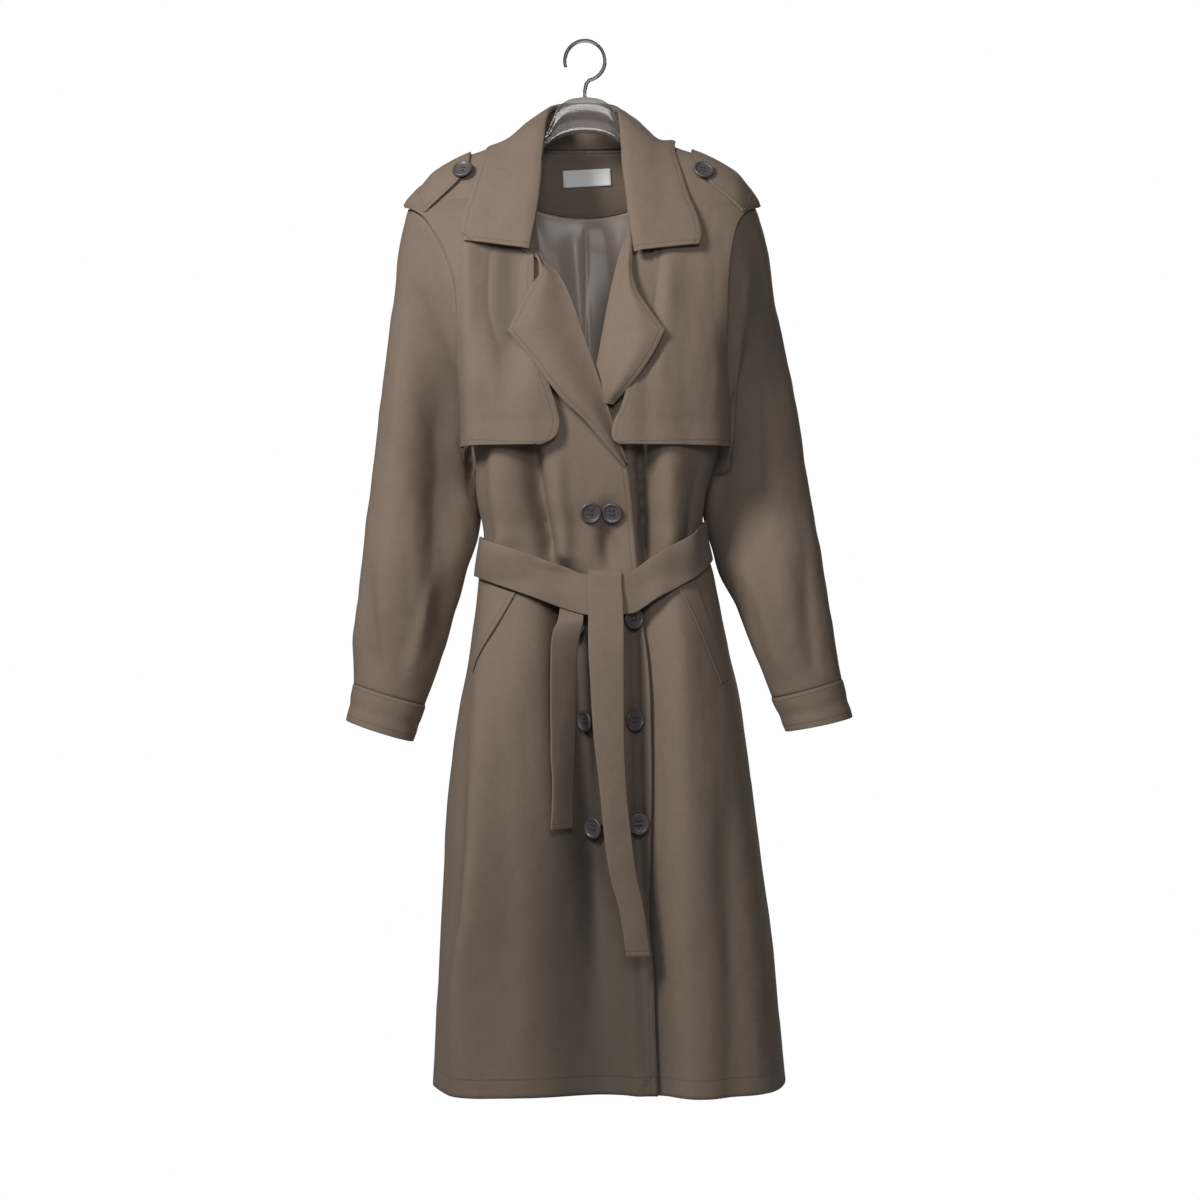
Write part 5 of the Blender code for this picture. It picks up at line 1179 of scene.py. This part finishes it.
# %% [markdown]
# ## Belt
# The band spans the folds below it. One end folds over its top and falls in front; the other
# falls from under it.

# %% Belt
BELT = {
    "x": (-0.110, -0.083, -0.050, -0.020, 0.000, 0.020, 0.040, 0.052, 0.063, 0.084, 0.107, 0.130),
    "middle": (-0.566, -0.577, -0.590, -0.602, -0.6085, -0.6085, -0.6070, -0.600, -0.592, -0.580,
               -0.566, -0.548),
}
BELT_OFF = 0.0022  # between the folds' crests and the belt
KNOT_ROOM = 0.0055  # more, where the belt's end passes behind the band
KNOT_X = 0.0218
TAIL_FRONT = {
    "z": (-0.6080, -0.6350, -0.6550, -0.6990, -0.7500, -0.8060, -0.8580, -0.9050, -0.9340, -0.9865),
    "left": (0.0035, 0.0040, 0.0040, 0.0061, 0.0092, 0.0155, 0.0207, 0.0279, 0.0362, 0.0445),
    "right": (0.0405, 0.0414, 0.0416, 0.0416, 0.0418, 0.0440, 0.0492, 0.0556, 0.0620, 0.0695),
    "lift": (0.0150, 0.0150, 0.0140, 0.0130, 0.0120, 0.0100, 0.0080, 0.0060, 0.0040, 0.0020),
    "turn": (0.0, 0.0, 0.0010, 0.0020, 0.0020, 0.0030, 0.0050, 0.0070, 0.0070, 0.0050),
}
TAIL_BACK = {
    "z": (-0.6360, -0.6450, -0.6680, -0.7150, -0.7640, -0.8070, -0.8550),
    "left": (-0.0285, -0.0325, -0.0350, -0.0350, -0.0349, -0.0330, -0.0348),
    "right": (-0.0010, -0.0030, -0.0070, -0.0090, -0.0100, -0.0110, -0.0115),
    "lift": (0.0110, 0.0100, 0.0040, -0.0040, -0.0080, -0.0090, -0.0090),
    "turn": (0.0040, 0.0090, 0.0160, 0.0220, 0.0240, 0.0240, 0.0220),
}
TAIL_BACK_TOP = (-0.0260, -0.0010)
OVER_BAND = (0.0040, 0.0395, -0.5805)  # the fold over the band: left, right, and its top
BAND_GAP = 0.0006
STRAP_STEP = 0.0035  # between the rows of a belt end
ACROSS = 9  # points in each of its rows, before they are refined
SEEK = 0.0002  # each step up in search of the band's lower edge


def belt_middle(angle):
    """Height of the belt's middle at an angle round the waist."""
    x = smooth(BODY, "centre", WAIST) + smooth(BODY, "half", WAIST) * across(angle)[0]
    front = curve(BELT["x"], BELT["middle"], x)
    ends_x, ends_z = (BELT[key][:1] + BELT[key][-1:] for key in ("x", "middle"))
    return np.where(np.cos(angle) > 0, front, np.interp(x, ends_x, ends_z))


def crest(angle, z):
    """The highest that the body's folds stand above its plain ring near a point."""
    n = normal(ring, angle, z)
    height = np.full(angle.shape, -1.0)
    for form in (body, left_body):
        for turn in np.radians(spread(-9, 9, 7)):
            for drop in (-0.012, 0.0, 0.012):
                above = (form(angle + turn, z + drop) - ring(angle + turn, z + drop)) * n
                height = np.maximum(height, above.sum(axis=-1))
    return height


def belt_surface(angle, z):
    """The belt's outside."""
    angle, z = np.broadcast_arrays(angle, z)
    x = ring(angle, z)[..., 0]
    room = KNOT_ROOM * ease(1.7 - np.abs(x - KNOT_X) / 0.030) * (np.cos(angle) > 0)
    lift = crest(angle, z) + room
    for _ in range(10):
        lift = 0.25 * np.roll(lift[:, :-1], 1, 1) + 0.5 * lift[:, :-1] + 0.25 * np.roll(lift[:, :-1], -1, 1)
        lift = np.concatenate([lift, lift[:, :1]], axis=1)
    return on(ring, angle, z, lift + BELT_OFF + DOUBLE)


def faces_of(piece):
    """A piece's faces, thickness included, ready to be met by a ray."""
    return BVHTree.FromObject(piece, bpy.context.evaluated_depsgraph_get())


def met(tree, x, z, inside=False):
    """The y at which a level ray meets a piece: from the front, or from inside the coat."""
    start, way = ((x, 0.0, z), (0, -1, 0)) if inside else ((x, -1.0, z), (0, 1, 0))
    spot = tree.ray_cast(Vector(start), Vector(way))[0]
    return None if spot is None else spot.y


def belt_band():
    """The belt round the waist, its two edges pressed in a little."""
    angle = spread(0, 2 * math.pi, 261)[None, :]
    share = spread(0.5, -0.5, 18)[:, None]
    points = belt_surface(angle, belt_middle(angle) + share * BELT_WIDTH)
    wave = crumple(points, 15.0, 0.0012, 0.05, 0.045)
    out = wave + 0.0006 - 0.0012 * np.abs(2 * share) ** 3
    points = points + grid_normals(points, tube=True) * out[..., None]
    points[:, -1] = points[:, 0]
    return cloth("belt_band", points, DOUBLE, tube=True, rim=EDGE_RIM)


band_faces = faces_of(belt_band())


def front_y(x, z, lift):
    """The y of a point that lies a lift in front of the body."""
    return ring(angle_at(x, z), z)[..., 1] - lift


def strap(name, rows, seed):
    """A belt end from a few rows of points: refined, cupped and a little uneven."""
    rows = np.array(rows)
    down = running(rows[:, ACROSS // 2])
    at = np.linspace(0, down[-1], int(down[-1] / STRAP_STEP))
    points = np.stack([[curve(down, rows[:, j, k], at) for j in range(ACROSS)] for k in range(3)], axis=-1)
    points = points.transpose(1, 0, 2)
    wide = spread(0, ACROSS - 1, 17)
    points = np.stack([[curve(range(ACROSS), row[:, k], wide) for row in points] for k in range(3)], axis=-1)
    fade = ease((at - 0.045) / 0.03)[:, None]
    cup = 0.0010 * (1 - (2 * wide / (ACROSS - 1) - 1) ** 2) + crumple(points, seed, 0.0016, 0.07, 0.05)
    points = points + grid_normals(points) * (cup * fade)[..., None]
    cloth(name, points, DOUBLE, stitch=stitched(EDGE_STITCH, "bottom"), rim=EDGE_RIM)


def tail_rows(table):
    """Rows of a belt end. A turn brings its left edge forward and its right edge back."""
    z, left, right, lift, turn = (np.array(table[key]) for key in ("z", "left", "right", "lift", "turn"))
    x = np.linspace(left, right, ACROSS).T
    level = z[:, None] + 0 * x
    off = lift[:, None] + turn[:, None] * np.linspace(0.5, -0.5, ACROSS)
    return np.stack([x, front_y(x, level, off), level], axis=-1)


def tail_front():
    """The end that comes up inside the band, folds over its top and falls in front."""
    rows = tail_rows(TAIL_FRONT)
    left, right, top = OVER_BAND
    x = np.linspace(left, right, ACROSS)
    clear = BAND_GAP + DOUBLE

    def band_y(heights, inside=False):
        """The band's nearest face at each point of a row, from the front or from inside."""
        pick = max if inside else min
        return np.array([
            pick(met(band_faces, at + step, height, inside) for step in (-0.004, 0.0, 0.004))
            for at, height in zip(x, heights)
        ])

    low = top - clear - 0.0030 + 0 * x
    behind, before = band_y(low, inside=True), band_y(low)
    over = [
        (behind + clear, 0.0130),
        (behind + clear, 0.0040),
        ((behind * 2 + before) / 3, 0.0006),
        ((behind + before * 2) / 3, 0.0002),
        (before - clear, 0.0045),
    ]
    over += [(band_y(top - drop + 0 * x) - clear - 0.0004, drop) for drop in (0.0130, 0.0200)]
    loop = [np.stack([x, y, top - drop + 0 * x], axis=-1) for y, drop in over]
    front = min(band_y(rows[0][:, 2]))
    for row in rows[:2]:
        row[:, 1] = np.minimum(row[:, 1], front - clear)
    strap("belt_tail_front", np.concatenate([loop, rows]), 21.0)


def tail_back():
    """The end that falls from under the band, seated on the band's lower edge."""
    rows = tail_rows(TAIL_BACK)
    x = np.linspace(*TAIL_BACK_TOP, ACROSS)
    low = belt_middle(angle_at(x, WAIST + 0 * x)) - BELT_WIDTH / 2
    top = []
    for at, height in zip(x, low):
        height -= 0.006
        while met(band_faces, at, height) is None:
            height += SEEK
        top.append((at, met(band_faces, at, height) + 0.0002, height - SEEK - JOIN))
    strap("belt_tail_back", np.concatenate([[top], rows]), 23.0)


tail_front()
tail_back()
print("belt made")

# %% [markdown]
# ## Pocket welts
# Each is a strip from the pocket's slanting mouth towards the side seam. The table gives the top
# and low ends of the mouth.

# %% Pockets
POCKETS = (
    ("pocket_welt_right", -1, (-0.0732, -0.6058), (-0.1125, -0.6907)),
    ("pocket_welt_left", 1, (0.0963, -0.5973), (0.1444, -0.7039)),
)
WELT_REACH = 0.0260
WELT_RISE = 0.0060  # its outer edge lies this much higher
WELT_LIFT = 0.0012
WELT_THICK = 0.0008

for name, side, top, low in POCKETS:
    along, reach = spread(0, 1, 44)[:, None], spread(0, 1, 14)[None, :]
    z = top[1] + (low[1] - top[1]) * along + WELT_RISE * reach
    mouth = angle_at(top[0] + (low[0] - top[0]) * along, z)
    angle = mouth + side * WELT_REACH * reach / smooth(BODY, "half", z)
    lift = WELT_LIFT + 0.0012 * np.sin(math.pi * along) ** 0.5 * (1 - reach) ** 3
    points = on(left_body if side > 0 else body, angle, z, lift)[:, ::side]
    stitch = stitched(EDGE_STITCH, "left" if side > 0 else "right")
    cloth(name, points, WELT_THICK, stitch=stitch, rim=0.0002)
print("pocket welts made")

# %% [markdown]
# ## Buttons
# Each is a turned disc with a rim, a dished middle and four sewn holes. It rests on the cloth.

# %% Buttons
BUTTONS = (
    ("button_1", 0.0064, -0.5201, "front_right"),
    ("button_2", 0.0300, -0.5191, "front_right"),
    ("button_3", -0.0131, -0.6420, "front_right"),
    ("button_4", 0.0483, -0.6330, "front_right"),
    ("button_5", 0.0049, -0.7427, "front_right"),
    ("button_6", 0.0502, -0.7406, "front_right"),
    ("button_7", 0.0134, -0.8576, "front_right"),
    ("button_8", 0.0574, -0.8503, "front_right"),
    ("epaulette_button_right", -0.1318, -0.1481, "epaulette_right"),
    ("epaulette_button_left", 0.1225, -0.1490, "epaulette_left"),
)
BUTTON_PROFILE = (
    # radius and height above the disc's underside, in shares of the radius
    (0.86, 0.0), (0.95, 0.03), (0.99, 0.08), (1.0, 0.13), (0.99, 0.20), (0.96, 0.26), (0.91, 0.30),
    (0.85, 0.31), (0.79, 0.29), (0.74, 0.24), (0.66, 0.20), (0.55, 0.185), (0.47, 0.18), (0.41, 0.178),
    (0.35, 0.177), (0.29, 0.176), (0.23, 0.176), (0.17, 0.176), (0.11, 0.176), (0.05, 0.176), (0.0, 0.176),
)
BUTTON_GAP = 0.0004  # between the disc and the highest cloth under it
SHANK = 0.0026  # half width of the sewn middle that holds it
DISH = 0.17  # height of the dished middle, as a share of the radius
HOLE_AT = 0.0024  # each hole's distance from the middle, across and down
HOLE_WIDE = 0.0009
HOLE_DEEP = 0.0014
THREAD_WIDE, THREAD_THICK = 0.0008, 0.0007


def seat(x, z, under):
    """Where a button's middle meets the cloth under it, the way out of that cloth's mean slope, and
    how far the highest cloth under the disc stands above the middle."""
    tree = faces_of(made_pieces[under + "_cloth"])
    turns = np.linspace(0, 2 * math.pi, 12, endpoint=False)
    spots = [(0.0, 0.0)]
    spots += [(r * math.cos(t), r * math.sin(t)) for r in (0.0057, BUTTON_RADIUS) for t in turns]
    points = [(x + dx, met(tree, x + dx, z + dz), z + dz) for dx, dz in spots]
    points = np.array([p for p in points if p[1] is not None])
    plane = np.c_[np.ones(len(points)), points[:, [0, 2]]]
    slope = np.linalg.lstsq(plane, points[:, 1], rcond=None)[0]
    axis = unit(np.array((slope[1], -1.0, slope[2])))
    return points[0], axis, ((points - points[0]) @ axis).max()


def button(name, x, z, under):
    """A turned button on the cloth under it, with its thread."""
    middle, axis, highest = seat(x, z, under)
    under_disc = max(highest + BUTTON_GAP, 0.0006)
    profile = [(0.0, BUTTON_GAP), (SHANK, BUTTON_GAP), (SHANK, under_disc)]
    profile += [(r * BUTTON_RADIUS, under_disc + h * BUTTON_RADIUS) for r, h in BUTTON_PROFILE]
    shell = bmesh.new()
    spot = [shell.verts.new((r, 0, h)) for r, h in profile]
    edges = [shell.edges.new(pair) for pair in zip(spot, spot[1:])]
    bmesh.ops.spin(shell, geom=spot + edges, axis=(0, 0, 1), cent=(0, 0, 0), angle=2 * math.pi, steps=64)
    bmesh.ops.remove_doubles(shell, verts=shell.verts, dist=1e-6)
    dish = under_disc + DISH * BUTTON_RADIUS
    for vert in shell.verts:
        from_hole = math.hypot(abs(vert.co.x) - HOLE_AT, abs(vert.co.y) - HOLE_AT)
        if vert.co.z > dish and vert.co.xy.length < 0.55 * BUTTON_RADIUS:
            vert.co.z -= HOLE_DEEP * math.exp(-((from_hole / HOLE_WIDE) ** 2))
    bmesh.ops.recalc_face_normals(shell, faces=shell.faces)
    if shell.calc_volume(signed=True) < 0:
        bmesh.ops.reverse_faces(shell, faces=shell.faces)
    # Two stitches of thread, each from hole to hole
    stitch = (HOLE_AT * 2.4, THREAD_WIDE, THREAD_THICK)
    for down in (-HOLE_AT, HOLE_AT):
        before = set(shell.faces)
        bmesh.ops.create_cube(shell, size=1.0)
        fresh = [f for f in shell.faces if f not in before]
        corners = {v for f in fresh for v in f.verts}
        for vert in corners:
            vert.co = vert.co * Vector(stitch) + Vector((0, down, dish + 0.0003))
        for face in fresh:
            face.material_index = 1
    turn = Vector(axis).to_track_quat("Z", "Y").to_matrix().to_4x4()
    turn.translation = Vector(middle)
    shell.transform(turn)
    finish_piece(name + "_horn", shell, (HORN, THREAD), (name,), smooth_angle=50)


for row in BUTTONS:
    button(*row)
print("buttons made")

# %% [markdown]
# ## Hanger
# A clear moulded bow whose arms run just under the shoulder seams.

# %% Hanger
HANGER_TOP = -0.060
HANGER = {
    "x": (0.0, 0.0150, 0.0255, 0.0310, 0.0360, 0.0420, 0.0520),
    "top": (HANGER_TOP, -0.0622, -0.0675, -0.0735, -0.0855, -0.0975, -0.1065),
    "low": (-0.0996, -0.1010, -0.1040, -0.1065, -0.1092, -0.1125, -0.1190),
}
ARM_X = (0.066, 0.082, 0.100, 0.118, 0.136, 0.152, 0.1660)
ARM_HEIGHT = 0.0150
ARM_END = 0.008  # the least height of an arm
HANGER_HALF = 0.0048
ARM_UNDER = 0.0032  # the arm's top below the shoulder ridge's outside


def hanger():
    """The bow from arm to arm, as a tube of rounded oblong rings round its middle line."""
    rows = ROWS[ROWS > SHOULDER_LOW]
    arm = np.array(ARM_X)
    top_arm = np.interp(arm, smooth(BODY, "half", rows), rows) - ARM_UNDER
    height = ARM_HEIGHT * (1 - 0.35 * ease((arm - 0.08) / 0.09))
    low_arm = np.minimum(top_arm - height, top_arm - ARM_END)
    x = np.concatenate([HANGER["x"], arm])
    at = spread(0, 1, 90) * arm[-1]
    top = curve(x, np.concatenate([HANGER["top"], top_arm]), at)
    low = curve(x, np.concatenate([HANGER["low"], low_arm]), at)
    one_arm = ((-1, at), (1, top), (1, low))
    at, top, low = (np.concatenate([sign * line[:0:-1], line]) for sign, line in one_arm)
    turn = spread(0, 2 * math.pi, 25)
    wide, tall = (np.sign(way) * np.abs(way) ** 0.5 for way in (np.sin(turn), np.cos(turn)))
    middle, half = (top + low) / 2, (top - low) / 2
    # A waist round its section turns the bow's upper and lower rims edge-on, where the painted highlight
    # makes them bright
    side_wide = HANGER_HALF * (0.62 + 0.38 * np.abs(np.cos(turn)) ** 0.7)
    points = np.stack([
        at[:, None] + 0 * turn[None, :], -side_wide * wide + 0 * at[:, None],
        middle[:, None] + half[:, None] * tall[None, :],
    ], axis=-1)
    shell = sheet_of(points)
    bmesh.ops.remove_doubles(shell, verts=shell.verts, dist=1e-6)
    ends = [e for e in shell.edges if e.is_boundary]
    bmesh.ops.holes_fill(shell, edges=ends, sides=0)
    bmesh.ops.recalc_face_normals(shell, faces=shell.faces)
    finish_piece("hanger_bow", shell, ACRYLIC, ("hanger",), smooth_angle=70)


hanger()
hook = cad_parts["hanger_hook"]
for slot in hook.material_slots:
    slot.material = CHROME
print("hanger made")

# %% [markdown]

# %% [markdown]
# ## Light, camera and floor
# A key from the wearer's right and above, a little light from the front, and one behind that
# brightens the edges. The camera alone sees the world as white.

# %% Stage
AMBIENT = 0.07  # the world's light on the coat
LENS = 65.45  # millimetres, on film 36 mm wide
CAMERA_PLACE = (0.0165, -2.4, -0.6133)
FLOOR_HEIGHT = -1.75
scene = bpy.context.scene


def area_light(name, place, aim, size, power, colour=(1, 1, 1)):
    """A soft lamp that the camera doesn't see."""
    lamp = bpy.data.lights.new(name, "AREA")
    lamp.shape, lamp.size, lamp.size_y = "RECTANGLE", size[0], size[1]
    lamp.energy, lamp.color = power, colour
    piece = bpy.data.objects.new(name, lamp)
    piece.location = place
    piece.rotation_euler = (Vector(aim) - Vector(place)).to_track_quat("-Z", "Y").to_euler()
    piece.visible_camera = False
    scene.collection.objects.link(piece)


area_light("key", (-1.05, -1.25, 0.55), (0.0, 0.0, -0.30), (0.5, 0.5), 31, (1.0, 0.99, 0.97))
area_light("front", (0.1, -1.7, 0.0), (0.0, 0.0, -0.25), (0.4, 0.4), 8.5)
area_light("back", (0.9, 2.4, 0.6), (0.0, 0.0, -0.6), (1.4, 1.4), 22)

world = bpy.data.worlds.new("studio")
world.use_nodes = True
scene.world = world
tree = world.node_tree
tree.nodes.clear()
sees = node(tree, "ShaderNodeLightPath").outputs["Is Camera Ray"]
level = node(tree, "ShaderNodeMapRange", {0: sees, 3: AMBIENT, 4: 1.0}).outputs[0]
light = node(tree, "ShaderNodeBackground", {"Color": (1, 1, 1, 1), "Strength": level})
node(tree, "ShaderNodeOutputWorld", {"Surface": light.outputs[0]})

shell = bmesh.new()
bmesh.ops.create_grid(shell, x_segments=1, y_segments=1, size=1.6)
mesh = bpy.data.meshes.new("floor")
shell.to_mesh(mesh)
shell.free()
mesh.materials.append(plain_finish("floor", (0.86, 0.86, 0.86), 0.9))
floor = bpy.data.objects.new("floor", mesh)
floor.location.z = FLOOR_HEIGHT
scene.collection.objects.link(floor)

lens = bpy.data.cameras.new("camera")
lens.lens, lens.sensor_width, lens.clip_end = LENS, 36.0, 60.0
camera = bpy.data.objects.new("camera", lens)
camera.location = CAMERA_PLACE
camera.rotation_euler = (math.pi / 2, 0, 0)
scene.collection.objects.link(camera)
scene.camera = camera
scene.view_settings.view_transform = "Standard"
